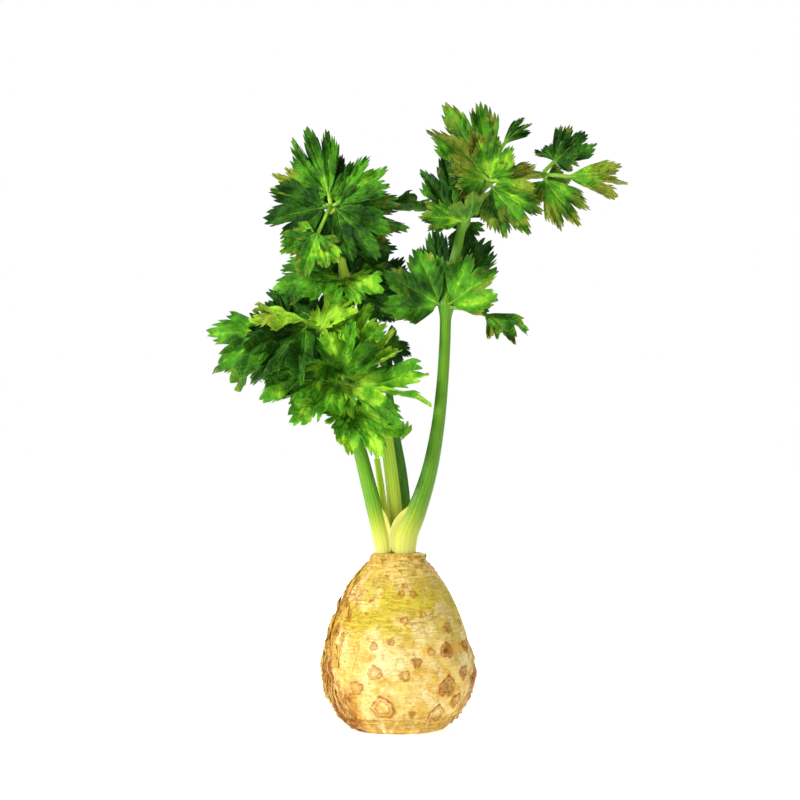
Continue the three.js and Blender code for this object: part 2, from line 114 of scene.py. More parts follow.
# How deep the bays between groups of teeth are, and how deep single teeth are, as shares of the blade's reach
BAY_DEPTHS = np.array([0.04, 0.09, 0.12, 0.07, 0.17, 0.05, 0.05, 0.17, 0.07, 0.12, 0.09, 0.04])
TOOTH_DEPTHS = (0.065, 0.12)
TOOTH_LEAN = 0.17
# The least and most that a blade's margin curls and its lobes fold, against the usual
CURLS = (1.4, 3.0)
FOLDS = (0.6, 1.5)

DEGREE = math.pi / 180
# A small step along a curve or turn, and a number that keeps a length above 0
TINY = 1e-4
NEVER_NONE = 1e-12
# The size of the rings that close a tube's ends, against its own rings
END_SIZE = 0.02
# A direction that no path of a tube sets out along
SLANTED = (0.31, 0.17, 0.93)

# How much of the CAD model's neck the fine blade keeps
NECK_FULLNESS = 0.45

# How far the finest blade tips reach, as a share of the CAD model's outline
BLADE_GROWTH = 1.09

# How steeply each lobe is folded up from its vein
FOLD = 0.24

# How a leaflet looks: its tone, from dark green (0) to lime (1), and its age, from fresh (0) to old (1)
# The tone is partly the leaflet's own green and partly painted light and shade: leaflets in shadow are given
# darker tones, brightly lit ones lighter.
LOOKS = {
    "dark": (0.1, 0.1),
    "mid": (0.38, 0.2),
    "bright": (0.75, 0.15),
    "yellow": (0.5, 0.8),
}

# How much more than the others the leaflets of one stalk are ruffled
CRUMPLE = {"left": 1.7, "centre": 1.25}

# Colours, as linear light
# The leaf colours from LEAF_DARK to LEAF_LIME are partly the leaflets' own greens and partly painted shade
# and light.
LEAF_DARK = (0.004, 0.042, 0.001)
LEAF_GREEN = (0.024, 0.14, 0.002)
LEAF_BRIGHT = (0.095, 0.41, 0.008)
LEAF_LIME = (0.42, 0.8, 0.03)
LEAF_YELLOW = (0.32, 0.34, 0.03)
LEAF_BROWN = (0.14, 0.06, 0.015)
VEIN_DARK = (0.08, 0.27, 0.012)
VEIN_PALE = (0.5, 0.74, 0.1)
UNDERSIDE = (0.11, 0.28, 0.05)
STALK_WHITE = (0.57, 0.54, 0.14)
STALK_YELLOW = (0.46, 0.5, 0.03)
STALK_YOUNG = (0.55, 0.76, 0.05)
STALK_GREEN = (0.12, 0.3, 0.003)
# STALK_DARK is also the painted shade on the side of a stalk that faces the plant's middle.
STALK_DARK = (0.025, 0.14, 0.002)
STALK_STREAK = (0.4, 0.6, 0.05)
ROOT_WHITE = (0.9, 0.75, 0.34)
ROOT_CREAM = (0.78, 0.57, 0.15)
ROOT_YELLOW = (0.7, 0.41, 0.06)
ROOT_GREENISH = (0.6, 0.5, 0.04)
ROOT_GOLD = (0.6, 0.4, 0.05)
ROOT_TAN = (0.6, 0.31, 0.016)
ROOT_LINE = (0.4, 0.17, 0.016)
ROOT_RING = (0.38, 0.095, 0.002)
ROOT_RUST = (0.2, 0.05, 0.002)
ROOT_PIT = (0.1, 0.015, 0.001)
FIBRE_PALE = (0.74, 0.57, 0.17)
FIBRE_TAN = (0.55, 0.33, 0.06)
FIBRE_BROWN = (0.24, 0.09, 0.02)

# Floor and light
FLOOR_SIZE = 12
FLOOR_PALE = (0.93, 0.93, 0.93)
FLOOR_PALER = (0.96, 0.96, 0.96)
LIGHT_TARGET = (0, 0, 0.25)
LIGHT_THROUGH_LEAF = 0.22
SEEN_BACKDROP = 1.0
WORLD_LIGHT = 0.28
FLOOR_GLOW = 0.75
# Each lamp's place and width in metres, and its power in watts
LAMPS = {
    "key": ((-1.15, -1.05, 1.25), 0.45, 42),
    "fill": ((1.2, -1.4, 0.5), 1.2, 3),
    "back": ((0.5, 1.5, 1.1), 0.9, 22),
}

# The root's chosen scars: degrees round from the front, height, size, depth and darkness
FRONT_SCARS = [
    (41, 35, 6.8, 1.0, 0.8),
    (42, 60.5, 4.8, 1.0, 1.0),
    (-17.5, 46, 4.6, 0.2, 0.05),
    (-32.5, 35, 4.6, 0.2, 0.08),
    (-12.5, 21, 7.4, 0.2, 0.02),
    (36, 15.5, 6.0, 0.5, 0.02),
    (-5.8, 67.5, 2.4, 0.6, 0.6),
    (-20, 64, 2.6, 0.6, 0.55),
    (14.5, 53, 3.4, 0.8, 0.7),
    (5, 44, 3.6, 0.3, 0.15),
    (12, 16.5, 2.2, 0.4, 0.6),
    (-43, 15, 2.8, 0.5, 0.5),
    (27.5, 60, 2.6, 0.4, 0.1),
    (6, 82, 2.6, 0.3, 0.2),
    (3.5, 100, 2.2, 0.3, 0.15),
    (24, 86, 2.2, 0.3, 0.2),
    (58, 44, 4.4, 0.9, 0.7),
    (55, 24, 5.0, 0.7, 0.5),
    (66, 62, 4.0, 0.9, 0.7),
    (-64, 73, 4.0, 1.0, 1.0),
    (-76, 62, 3.4, 1.0, 1.0),
    (-66, 108, 3.0, 0.8, 0.7),
    (-16, 113, 1.6, 1.0, 1.0),
]

# The root's outline: radius and height
ROOT_OUTLINE = [
    (0, 0), (FOOT_RADIUS, 0), (35.5, 2.6), (41.8, 8.5), (47.4, 16.5), (51.8, 26), (54.3, 36),
    (ROOT_RADIUS, 45), (53.6, 54), (50.8, 64), (47.5, 75), (43.4, 86), (38.8, 96.5), (33.2, 106.5),
    (26.6, 115.5), (21.4, 121.8), (CROWN_RADIUS, ROOT_HEIGHT), (0, ROOT_HEIGHT),
]

# Each stalk: the way its round back faces, its shade (0 when young, 1 when dark), the height, width and side
# of the skin at its foot, its half width at each point, and the points of its middle line.
STALKS = {
    "right": {
        "back": (0.35, -0.94, 0),
        "shade": 0.62,
        "sheath": (32, 6.5, 1),
        "widths": (8.2, 8.6, 7.4, 6, 5, 4.4, 4.2, 4.1, 4, 3.7, 3.3, 2.8, 2.3),
        "points": [
            (4.6, -7.5, BASE_Z), (5.8, -8, 139), (13, -8, 157), (21.6, -6.5, 183), (28, -5, 215),
            (31.5, -4, 246), (33.4, -3, 275), (34.6, -2, 305), (37.4, 1, 325), (42.5, 3, 346),
            (47.5, 4, 366), (56, 3, 382), (66, 1, 395),
        ],
    },
    "left": {
        "back": (-0.45, -0.9, 0),
        "shade": 0.55,
        "sheath": (32, 4.2, -1),
        "widths": (5.8, 6.2, 6.2, 5.6, 5, 4.6, 4.4, 4.1, 3.4, 2.8, 2.2),
        "points": [
            (-10.2, -7, BASE_Z), (-12.2, -7.6, 139), (-17, -7.5, 160), (-23, -7, 184), (-30, -6, 212),
            (-35.5, -5, 236), (-38.8, -4.8, 250), (-43.4, -4, 266), (-53, -3, 287), (-66, -4, 291),
            (-80, -7, 283),
        ],
    },
    "centre": {
        "back": (0.1, -1, 0),
        "shade": 0.12,
        "widths": (5.6, 5.6, 5.2, 4.8, 4.5, 4.2, 3.9, 3.6, 3.3, 2.8, 2.2),
        "points": [
            (-1.5, 4, BASE_Z), (-1.8, 4, 139), (-3, 4.2, 165), (-6.4, 4.2, 195), (-12, 5, 228),
            (-21, 7, 259), (-29, 8, 284), (-35, 8, 304), (-38.5, 7, 325), (-43, 5, 350), (-48.5, 3, 376),
        ],
    },
    "back": {
        "back": (0.3, 0.95, 0),
        "shade": 0.95,
        "widths": (4.4, 4.4, 4, 3.6, 3.2, 2.8, 2.4, 2, 1.6),
        "points": [
            (4.4, 13, BASE_Z), (5, 13.4, 138), (5.2, 14, 160), (2.6, 14.5, 186), (-1, 15, 207),
            (-5, 16, 232), (-9, 17, 256), (-14, 18, 282), (-20, 18, 306),
        ],
    },
    "young": {
        "back": (-0.6, 0.8, 0),
        "shade": 0.0,
        "widths": (2.8, 3.1, 3.2, 2.9, 2.2),
        "points": [
            (-7.8, 12.5, BASE_Z), (-8.4, 12.4, 138), (-10.4, 11.6, 158), (-12.6, 11, 176), (-15.4, 11, 196),
        ],
    },
}
BRANCHES = {
    "right_branch": {
        "stalk": "right",
        "back": (0, -0.9, -0.4),
        "widths": (2, 1.9, 1.7, 1.5),
        "points": [(65, 1.2, 393.5), (78, -1, 398), (92, 0, 401), (105, 1, 399.5)],
    },
}
LINES = {**STALKS, **BRANCHES}


def leaf_shape(**changes):
    """A leaflet's measures: bare stem, neck and bays as shares of its length, and its bends in degrees."""
    plain = {"petiole": 0, "neck": 0.42, "cut": 0.76, "cup": 0, "sweep": 0, "droop": 0, "ruffle": 0.035}
    return {**plain, **changes}


def row(line, joint, start, toward, face, length, spread, look, ears=True, **shape):
    """A leaflet's row of the table below.

    It grows at a joint (a point of its stalk's middle line), from the stalk's side that start points to.
    toward is the way its midrib sets out, face the way its upper side looks, and spread half its fan's angle.
    """
    shape.update(line=line, joint=joint, start=start, toward=toward, face=face, ears=ears)
    shape["look"] = LOOKS[look] if isinstance(look, str) else look
    return leaf_shape(length=length, spread=spread, **shape)


LEAFLETS = {
    "right_low_left": row(
        "right", 7, (-0.7, -0.7, 0), (-0.85, -0.25, 0.5), (0.1, -1, 0.2), 48, 66, (0.26, 0.4), ears=False,
        droop=14, cup=20),
    "right_low_right": row(
        "right", 7, (0.4, -0.9, 0.1), (0.76, -0.3, 0.6), (-0.2, -1, 0.3), 43, 59, (0.36, 0.3), ears=False,
        droop=10, cup=16),
    "right_low_drooping": row(
        "right", 7, (0.6, -0.7, -0.3), (0.95, -0.3, 0), (-0.1, -0.6, 0.8), 62, 42, (0.36, 0.5), ears=False,
        petiole=0.42, neck=0.36, droop=30, sweep=54, cup=10),
    "right_low_back": row(
        "right", 7, (0, 1, 0.3), (0.24, 0.25, 0.94), (-0.1, -1, 0.35), 64, 40, "dark", droop=10),
    "right_mid_left": row(
        "right", 10, (-0.62, -0.84, -0.02), (-0.93, -0.38, 0.18), (0.1, -0.75, 0.65), 31, 51, (0.5, 0.35),
        ears=False, droop=19, cup=14),
    "right_mid_front": row(
        "right", 10, (0.3, -0.95, 0), (0.25, -0.7, 0.35), (0, -0.55, 0.8), 30, 64, (0.45, 0.7), ears=False,
        droop=-30, cup=30),
    "right_mid_up": row(
        "right", 10, (-0.8, 0.5, 0.1), (-0.2, 0.1, 0.95), (0.2, -1, 0.1), 50, 46, "dark", droop=12, cup=12),
    "right_mid_back": row(
        "right", 10, (0.34, 0.9, 0.04), (-0.12, 0.22, -0.74), (0, -1, 0.2), 26, 40, "dark", droop=-12),
    "right_top": row(
        "right", 12, (-0.1, 0.3, 1), (-0.52, 0.08, 0.86), (0.15, -1, 0.2), 60, 44, (0.34, 0.4), droop=12,
        cup=14),
    "right_top_front": row(
        "right", 12, (-0.6, -0.8, 0.2), (-0.66, -0.34, 0.66), (0.2, -1, 0.3), 44, 40, (0.5, 0.65), droop=-18,
        cup=16),
    "right_top_heart": row(
        "right", 12, (0.1, -1, 0.3), (0.1, -0.6, 0.75), (0, -0.9, 0.3), 34, 46, (0.4, 0.55), droop=20,
        cup=14),
    "right_top_edge": row(
        "right", 12, (0.4, 0.9, 0.6), (0.05, 0.1, 1), (0, -1, 0), 52, 26, "dark", ears=False, petiole=0.5,
        neck=0.42, sweep=66),
    "right_side": row(
        "right", 12, (0.3, -1, 0), (1, -0.3, 0.04), (0, -0.9, 0.45), 37, 31, (0.5, 0.65), ears=False,
        neck=0.3, cut=0.85),
    "right_side_low": row(
        "right", 12, (0.2, -0.5, -1), (0.6, -0.3, -0.76), (0, -1, 0.3), 46, 44, (0.36, 0.6), droop=10,
        cup=20),
    "right_far_low": row(
        "right_branch", 3, (-0.1, -0.6, -0.9), (0.56, -0.2, -0.78), (0, -1, -0.1), 44, 35, (0.3, 0.6),
        droop=12, cup=20),
    "right_far_up": row(
        "right_branch", 3, (0.1, 0.6, 0.9), (0.68, 0.3, 0.68), (-0.2, -1, 0.2), 48, 42, (0.22, 0.4),
        petiole=0.2, neck=0.3, droop=12, cup=20),
    "right_far_curled": row(
        "right_branch", 3, (1, -0.4, -0.1), (1, -0.22, -0.1), (0, -0.9, 0.5), 55, 33, (0.4, 0.85),
        ears=False, petiole=0.2, neck=0.3, droop=6, cup=26, ruffle=0.06),
    "centre_tip": row(
        "centre", 10, (-0.1, -0.3, 1), (-0.3, -0.1, 0.94), (0.1, -1, 0.2), 53, 31, "mid", droop=14, cup=16),
    "centre_tip_back": row(
        "centre", 10, (0.4, 1, 0.5), (0.14, 0.3, 0.9), (0, -1, 0.3), 40, 37, "dark", droop=6),
    "centre_up_right": row(
        "centre", 10, (0.9, -0.2, 0.5), (0.76, -0.1, 0.6), (-0.2, -1, 0.3), 46, 37, "mid", droop=14, cup=14),
    "centre_up_left": row(
        "centre", 10, (-0.8, 0.4, 0.5), (-0.84, 0.1, 0.5), (0.2, -1, 0.2), 46, 24, (0.45, 0.6), ears=False,
        droop=10),
    "centre_left": row(
        "centre", 10, (-1, -0.3, 0), (-0.96, -0.25, -0.18), (0.1, -1, 0.3), 46, 53, "dark", droop=14, cup=12),
    "centre_hanging": row(
        "centre", 10, (-0.2, -1, -0.2), (-0.36, -0.5, -0.84), (0, -0.9, 0.4), 58, 66, (0.42, 0.45),
        petiole=0.38, neck=0.3, droop=10, cup=20),
    "centre_low_front": row(
        "centre", 10, (1, -0.5, -0.2), (0.64, -0.4, -0.7), (0, -1, 0.4), 50, 44, "dark", droop=14, cup=10),
    "centre_far_right": row(
        "centre", 10, (1, 0.4, -0.1), (0.93, 0.1, -0.28), (0, -1, 0.2), 54, 37, (0.22, 0.35), droop=10),
    "centre_slender": row(
        "centre", 10, (0.3, 1.6, 0.1), (0.93, 0.42, 0.06), (0, -0.3, 1), 78, 18, "dark", ears=False,
        petiole=0.3, neck=0.5),
    "centre_second_right": row(
        "centre", 8, (1, 0.3, 0), (0.82, 0.2, -0.4), (0, -1, 0.2), 42, 53, "dark", droop=12),
    "centre_second_front": row(
        "centre", 8, (0.2, -1, 0), (0.21, -0.88, -0.33), (0, -0.8, 0.6), 42, 58, (0.62, 0.05), droop=25,
        cup=10),
    "centre_second_left": row(
        "centre", 8, (-1, -0.4, 0), (-0.9, -0.3, 0), (0, -0.7, 0.7), 48, 53, "mid", droop=34, cup=10),
    "centre_second_back": row(
        "centre", 8, (0, 1, 0.1), (-0.6, 0.75, 0.25), (0, -0.2, 1), 44, 51, "mid", droop=24, cup=10),
    "centre_middle_right": row(
        "centre", 9, (0.75, 0.94, -0.1), (0.56, 0.29, -0.34), (0, -1, 0.3), 45, 45, "dark", droop=-14),
    "left_up_bright": row(
        "left", 8, (-0.49, -1.21, 0.25), (0.4, -0.34, 0.64), (-0.4, -0.8, 0.5), 36, 43, (1.05, 0.05),
        droop=43, cup=10),
    "left_down_bright": row(
        "left", 8, (0.29, -0.98, -0.08), (0.61, -0.48, 0.17), (0, -0.7, 0.7), 28, 36, (0.9, 0.05), droop=58,
        cup=10),
    "left_up_dark": row(
        "left", 8, (-0.2, 0.6, 0.9), (-0.84, 0.25, 0.5), (0.1, -1, 0.3), 48, 46, "dark", droop=10),
    "left_olive": row(
        "left", 9, (0, -0.8, 0.7), (-0.93, -0.4, 0.2), (0, -0.5, 0.9), 42, 37, (0.95, 0.55), ears=False,
        droop=24, cup=-12),
    "left_far": row(
        "left", 10, (-1, -0.2, 0), (-0.9, -0.2, -0.3), (0, -0.8, 0.6), 54, 59, (0.48, 0.2), droop=40, cup=20),
    "left_far_low": row(
        "left", 10, (-0.6, 0.23, -0.77), (-0.22, 0.47, -0.8), (0, -0.9, 0.4), 47, 41, "dark", droop=16),
    "left_far_up": row(
        "left", 10, (-0.4, 0.5, 0.9), (-0.55, 0.4, 0.7), (0, -1, 0.4), 34, 46, "dark", droop=12),
    "left_front_dark": row(
        "left", 9, (0.2, -1, -0.4), (-0.54, -0.72, -0.52), (0, -0.7, 0.7), 58, 51, "dark", droop=26, cup=24),
    "left_low": row(
        "left", 7, (-0.9, -0.6, 0), (-0.85, -0.4, -0.4), (0, -0.7, 0.7), 58, 42, (0.56, 0.05), droop=24),
    "left_low_front": row(
        "left", 6, (-0.7, -0.9, 0), (-0.6, -0.6, -0.26), (0, -0.6, 0.8), 50, 53, (0.62, 0.05), droop=46,
        cup=12),
    "left_low_back": row(
        "left", 7, (0.1, 1, 0), (-0.5, 0.8, 0.1), (0, -0.2, 1), 48, 48, "mid", droop=26),
    "left_inner_front": row(
        "left", 6, (-0.2, -1.01, 0.3), (0.14, -0.44, 0.78), (0, -0.9, 0.5), 46, 48, (0.52, 0.05), droop=4,
        cup=12),
    "left_inner_up": row(
        "left", 7, (0.39, -0.72, 0.24), (0.45, -0.16, 0.91), (-0.1, -0.9, 0.4), 45, 46, (0.75, 0.05),
        droop=26),
    "left_mid_yellow": row(
        "left", 6, (0.8, 0.1, 0.7), (0.68, -0.16, 0.72), (-0.2, -0.8, 0.5), 46, 32, (1.0, 0.35), droop=10,
        cup=2),
    "left_bottom_right": row(
        "left", 6, (0.4, -1, -0.4), (0.9, -0.56, -0.12), (0, -0.8, 0.6), 68, 40, (0.72, 0.08), cut=0.55,
        droop=16, cup=10),
    "left_bottom": row(
        "left", 5, (0.3, -1, -0.3), (0.44, -0.6, -0.66), (0.1, -0.8, 0.6), 50, 55, (0.68, 0.08), droop=20,
        cup=12),
    "back_right": row(
        "back", 8, (0.9, 0.2, 0.3), (0.9, 0.35, -0.15), (0, -1, 0.3), 22, 57, "dark", droop=10),
    "back_up": row(
        "back", 8, (0.1, 0.2, 1), (0.2, 0.2, 0.95), (0, -1, 0.2), 42, 51, "dark", droop=8),
    "back_low_right": row(
        "back", 7, (0.9, 0.3, 0.1), (0.5, 0.25, -0.75), (0, -1, 0.3), 28, 46, "dark", droop=12),
    "back_behind": row(
        "back", 7, (-0.02, 1.01, 0.06), (0.19, 0.69, -0.48), (0, -0.1, 1), 30, 49, "mid", droop=30),
    "back_small": row(
        "back", 4, (0.9, -0.2, 0.3), (0.3, -0.1, 0.95), (-0.2, -1, 0), 14, 29, "bright", ears=False),
    "young_tip": row(
        "young", 4, (0, 0, 1), (-0.1, 0, 1), (0, -1, 0), 26, 26, "bright", ears=False),
}


# ---------------------------------------------------------------- geometry helpers


def vec(values):
    return np.array(values, float)


def unit(values):
    values = vec(values)
    return values / np.linalg.norm(values)


def smoothstep(low, high, value):
    share = np.clip((value - low) / (high - low), 0, 1)
    return share * share * (3 - 2 * share)


def bell(value, middle, width):
    """1 where the value is at the middle, and less the further it is from there."""
    return np.exp(-(((value - middle) / width) ** 2))


def curve_point(points, t):
    """A point on the centripetal Catmull-Rom curve through the points, as on the CAD model's stalks."""
    place = t * (len(points) - 1)
    start = min(int(place), len(points) - 2)
    share = place - start
    p1, p2 = points[start], points[start + 1]
    p0 = points[start - 1] if start > 0 else 2 * p1 - p2
    p3 = points[start + 2] if start + 2 < len(points) else 2 * p2 - p1
    dt0, dt1, dt2 = (max(np.linalg.norm(b - a), TINY) ** 0.5 for a, b in ((p0, p1), (p1, p2), (p2, p3)))
    t1 = ((p1 - p0) / dt0 - (p2 - p0) / (dt0 + dt1) + (p2 - p1) / dt1) * dt1
    t2 = ((p2 - p1) / dt1 - (p3 - p1) / (dt1 + dt2) + (p3 - p2) / dt2) * dt1
    s2, s3 = share * share, share**3
    return (2 * s3 - 3 * s2 + 1) * p1 + (s3 - 2 * s2 + share) * t1 + (3 * s2 - 2 * s3) * p2 + (s3 - s2) * t2


def curve_tangent(points, t):
    return unit(curve_point(points, min(1, t + TINY)) - curve_point(points, max(0, t - TINY)))


def width_at(line, t):
    widths = line["widths"]
    return float(np.interp(t * (len(widths) - 1), range(len(widths)), widths))


def grid_faces(rows, columns, start=0, wrap=False, flip=False):
    """Quads of a grid of points stored row by row. wrap joins the last column to the first."""
    r, c = np.meshgrid(np.arange(rows - 1), np.arange(columns if wrap else columns - 1), indexing="ij")
    r, c = r.ravel(), c.ravel()
    c2 = (c + 1) % columns
    near, far = r * columns + start, (r + 1) * columns + start
    quads = np.stack([near + c, near + c2, far + c2, far + c], 1)
    return quads[:, ::-1] if flip else quads


def make_mesh(name, points, quads, values):
    """A smooth mesh object from points in millimetres. values holds one number or vector for each point."""
    mesh = bpy.data.meshes.new(name)
    points = np.asarray(points, float) * MM
    quads = np.asarray(quads, int)
    mesh.vertices.add(len(points))
    mesh.vertices.foreach_set("co", points.ravel())
    mesh.loops.add(quads.size)
    mesh.loops.foreach_set("vertex_index", quads.ravel())
    mesh.polygons.add(len(quads))
    mesh.polygons.foreach_set("loop_start", np.arange(len(quads)) * 4)
    mesh.update(calc_edges=True)
    mesh.polygons.foreach_set("use_smooth", np.ones(len(quads), bool))
    for key, data in values.items():
        data = np.asarray(data, float)
        kind, field = ("FLOAT_VECTOR", "vector") if data.ndim == 2 else ("FLOAT", "value")
        mesh.attributes.new(key, kind, "POINT").data.foreach_set(field, data.ravel())
    mesh.validate()
    piece = bpy.data.objects.new(name, mesh)
    bpy.context.scene.collection.objects.link(piece)
    return piece


def finish_piece(piece, material, slot, *nodes):
    """Gives a piece its material, lets it ride on the one body, and shows it in place of its CAD nodes."""
    piece.data.materials.append(material)
    if nodes:
        settle(piece, nodes[0])
        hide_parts(*nodes)
    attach(piece, "root")


def settle(piece, node):
    """Moves a piece whose own coarse box is known so that this box is centred on its CAD node's box."""
    if "coarse_centre" not in piece:
        return
    low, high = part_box(node)
    shift = (Vector(low) + Vector(high)) / 2 - Vector(piece["coarse_centre"])
    piece.data.transform(Matrix.Translation(shift))
    del piece["coarse_centre"]


def grid_normals(points):
    along = np.gradient(points, axis=0)
    across = np.gradient(points, axis=1)
    normals = np.cross(across, along)
    return normals / (np.linalg.norm(normals, axis=2)[:, :, None] + NEVER_NONE)


def thin_sheet(middle, above, below):
    """A closed thin sheet round a grid of middle points: an upper skin, a lower skin and a rim."""
    rows, columns = middle.shape[:2]
    count = rows * columns
    normals = grid_normals(middle)
    upper = middle + normals * np.broadcast_to(above, (rows, columns))[:, :, None]
    lower = middle - normals * np.broadcast_to(below, (rows, columns))[:, :, None]
    border = [(r, 0) for r in range(rows)] + [(rows - 1, c) for c in range(1, columns)]
    border += [(r, columns - 1) for r in range(rows - 2, -1, -1)]
    border += [(0, c) for c in range(columns - 2, 0, -1)]
    edge = np.array([r * columns + c for r, c in border])
    following = np.roll(edge, -1)
    rim = np.stack([edge, following, following + count, edge + count], 1)
    quads = [grid_faces(rows, columns), grid_faces(rows, columns, count, flip=True), rim]
    return np.concatenate([upper.reshape(-1, 3), lower.reshape(-1, 3)]), np.concatenate(quads)


def closed_ends(rows):
    """Rings of a tube with a ring of almost no size added at each end."""
    first, last = rows[0].mean(0), rows[-1].mean(0)
    return [first + (rows[0] - first) * END_SIZE, *rows, last + (rows[-1] - last) * END_SIZE]


def tube(path, radii, sides):
    """Points and quads of a round tube along a path, closed at both ends by rings of almost no size."""
    path = np.asarray(path, float)
    tangents = np.gradient(path, axis=0)
    tangents /= np.linalg.norm(tangents, axis=1)[:, None] + NEVER_NONE
    side = np.cross(tangents[0], SLANTED)
    angles = np.arange(sides) * 2 * math.pi / sides
    rows = []
    for centre, tangent, radius in zip(path, tangents, radii):
        side = side - tangent * np.dot(side, tangent)
        side /= np.linalg.norm(side)
        other = np.cross(tangent, side)
        rows.append(centre + radius * (np.cos(angles)[:, None] * side + np.sin(angles)[:, None] * other))
    return np.concatenate(closed_ends(rows)), grid_faces(len(rows) + 2, sides, wrap=True)


def join_parts(parts):
    """Several (points, quads, values) as one, for pieces that are one object made of many strands."""
    points, quads, values, start = [], [], {}, 0
    for part_points, part_quads, part_values in parts:
        points.append(part_points)
        quads.append(np.asarray(part_quads) + start)
        start += len(part_points)
        for key, data in part_values.items():
            values.setdefault(key, []).append(np.asarray(data, float))
    return np.concatenate(points), np.concatenate(quads), {k: np.concatenate(v) for k, v in values.items()}


# ---------------------------------------------------------------- leaflets


def lobed_reach(share, cut):
    """The fan's reach at a share of its half angle: middle lobe, bay and side lobe, as in the CAD model."""
    away = np.abs(share)
    middle = cut + (1 - cut) * np.clip(1 - away / SINUS_AT, 0, 1) ** LOBE_POWER
    climb = np.clip((away - SINUS_AT) / (SIDE_LOBE_AT - SINUS_AT), 0, 1)
    side = cut + (SIDE_LOBE_REACH - cut) * climb**LOBE_POWER
    fall = np.clip((away - SIDE_LOBE_AT) / (1 - SIDE_LOBE_AT), 0, 1)
    edge = SIDE_LOBE_REACH - (SIDE_LOBE_REACH - EDGE_REACH) * fall
    return np.where(away < SINUS_AT, middle, np.where(away < SIDE_LOBE_AT, side, edge))


def bend_arc(along, across, turn, length):
    """Bends places along an arc that turns by 'turn' radians over 'length'."""
    if abs(turn) < TINY:
        return along, across
    rate = turn / length
    angle = rate * along
    bent = np.sin(angle) / rate + across * np.sin(angle)
    return bent, -(1 - np.cos(angle)) / rate + across * np.cos(angle)


def bend(leaf, x, y, z):
    """Cups, sweeps and droops places on a leaflet, in that order, as the CAD model does."""
    length = leaf["length"]
    x, z = bend_arc(x, z, -leaf["cup"] * DEGREE, length * 0.5)
    y, x = bend_arc(y, x, -leaf["sweep"] * DEGREE, length)
    y, z = bend_arc(y, z, leaf["droop"] * DEGREE, length)
    return np.stack([x, y, z], -1)


def foot_length(leaf):
    """The length of the bare stem between a leaflet's foot and its blade."""
    return leaf["length"] * leaf["petiole"]


def blade_points(leaf, share, reach, lift=0.0, fullness=1.0):
    """Places on the leaflet's middle surface, as in the CAD model.

    lift adds small waves to its height, and a fullness below 1 widens the blade near its neck.
    """
    length, foot = leaf["length"], foot_length(leaf)
    q = reach / (length - foot)
    opening = smoothstep(0, leaf["neck"] * fullness, q)
    angle = share * leaf["spread"] * DEGREE
    strip = share * np.minimum(NECK_HALF_WIDTH, reach + foot)
    x = strip + (reach * np.sin(angle) - strip) * opening
    y = foot + reach + (reach * np.cos(angle) - reach) * opening
    z = leaf["ruffle"] * length * q * q * np.sin(2 * math.pi * share) + lift
    return bend(leaf, x, y, z)


def toothed_margin(rng):
    """Shares across the fan, and how far bays and teeth cut the margin back at each."""
    bounds = np.linspace(-1, 1, TOOTH_GROUPS + 1)
    bounds[1:-1] += rng.uniform(-0.012, 0.012, TOOTH_GROUPS - 1)
    bays = BAY_DEPTHS * rng.uniform(0.7, 1.35, len(BAY_DEPTHS))
    shares, cuts = [], []
    for group in range(TOOTH_GROUPS):
        low, high = bounds[group], bounds[group + 1]
        middle = (low + high) / 2
        lobe = min((0, -SIDE_LOBE_AT, SIDE_LOBE_AT), key=lambda s: abs(s - middle))
        lean = TOOTH_LEAN * np.sign(round(lobe - middle, 2)) if abs(lobe - middle) > 0.05 else 0
        fine = rng.uniform(*TOOTH_DEPTHS, TEETH_IN_GROUP)
        for tooth in range(TEETH_IN_GROUP):
            peak = 0.5 + lean * 1.3
            for part in (0, peak * 0.33, peak * 0.67, peak, (1 + 2 * peak) / 3, (2 + peak) / 3):
                place = (tooth + part) / TEETH_IN_GROUP
                bay = bays[group] * (1 - place) ** 2.2 + bays[group + 1] * place**2.2
                tooth_height = part / peak if part <= peak else (1 - part) / (1 - peak)
                shares.append(low + (high - low) * place)
                cuts.append(bay + fine[tooth] * (1 - tooth_height**0.9))
    shares.append(1.0)
    cuts.append(0.2)
    return np.array(shares), np.array(cuts)


def coarse_centre(leaf, place):
    """The centre of the box of the leaflet's CAD solid, worked out by the CAD model's own steps."""
    half = np.array([0, 0.14, SINUS_AT, 0.41, SIDE_LOBE_AT, 0.68, 0.82, 1])
    shares = np.concatenate([-half[:0:-1], half])
    reach = lobed_reach(shares, leaf["cut"]) * (leaf["length"] - foot_length(leaf))
    rings = ([0] if leaf["petiole"] else []) + [0.24, 0.6, 1]
    points = [np.zeros((1, 3))] + [blade_points(leaf, shares, ring * reach) for ring in rings]
    points = np.concatenate(points) @ place[:3, :3].T + place[:3, 3]
    return (points.min(0) + points.max(0)) / 2


def leaf_place(leaf):
    """The 4x4 place of a leaflet (its midrib is +Y, its face +Z) and the point on its stalk's middle line."""
    line = LINES[leaf["line"]]
    points = [vec(p) for p in line["points"]]
    t = leaf["joint"] / (len(points) - 1)
    start = unit(leaf["start"])
    tangent = curve_tangent(points, t)
    square = max(0.5, math.sqrt(max(0, 1 - float(np.dot(tangent, start)) ** 2)))
    base = points[leaf["joint"]] + start * (width_at(line, t) + JOINT_CLEARANCE) / square
    midrib = unit(leaf["toward"])
    side = unit(np.cross(midrib, leaf["face"]))
    place = np.eye(4)
    place[:3, 0], place[:3, 1], place[:3, 2], place[:3, 3] = side, midrib, np.cross(side, midrib), base
    return place, points[leaf["joint"]]


def vein_distances(share, reach, leaf):
    """Distance to the nearest main vein, as a share of the length, for each point."""
    spread = leaf["spread"] * DEGREE
    near = np.min([np.abs(share - s) for s in (0, -SIDE_LOBE_AT, SIDE_LOBE_AT)], axis=0)
    return near * spread * reach / leaf["length"]


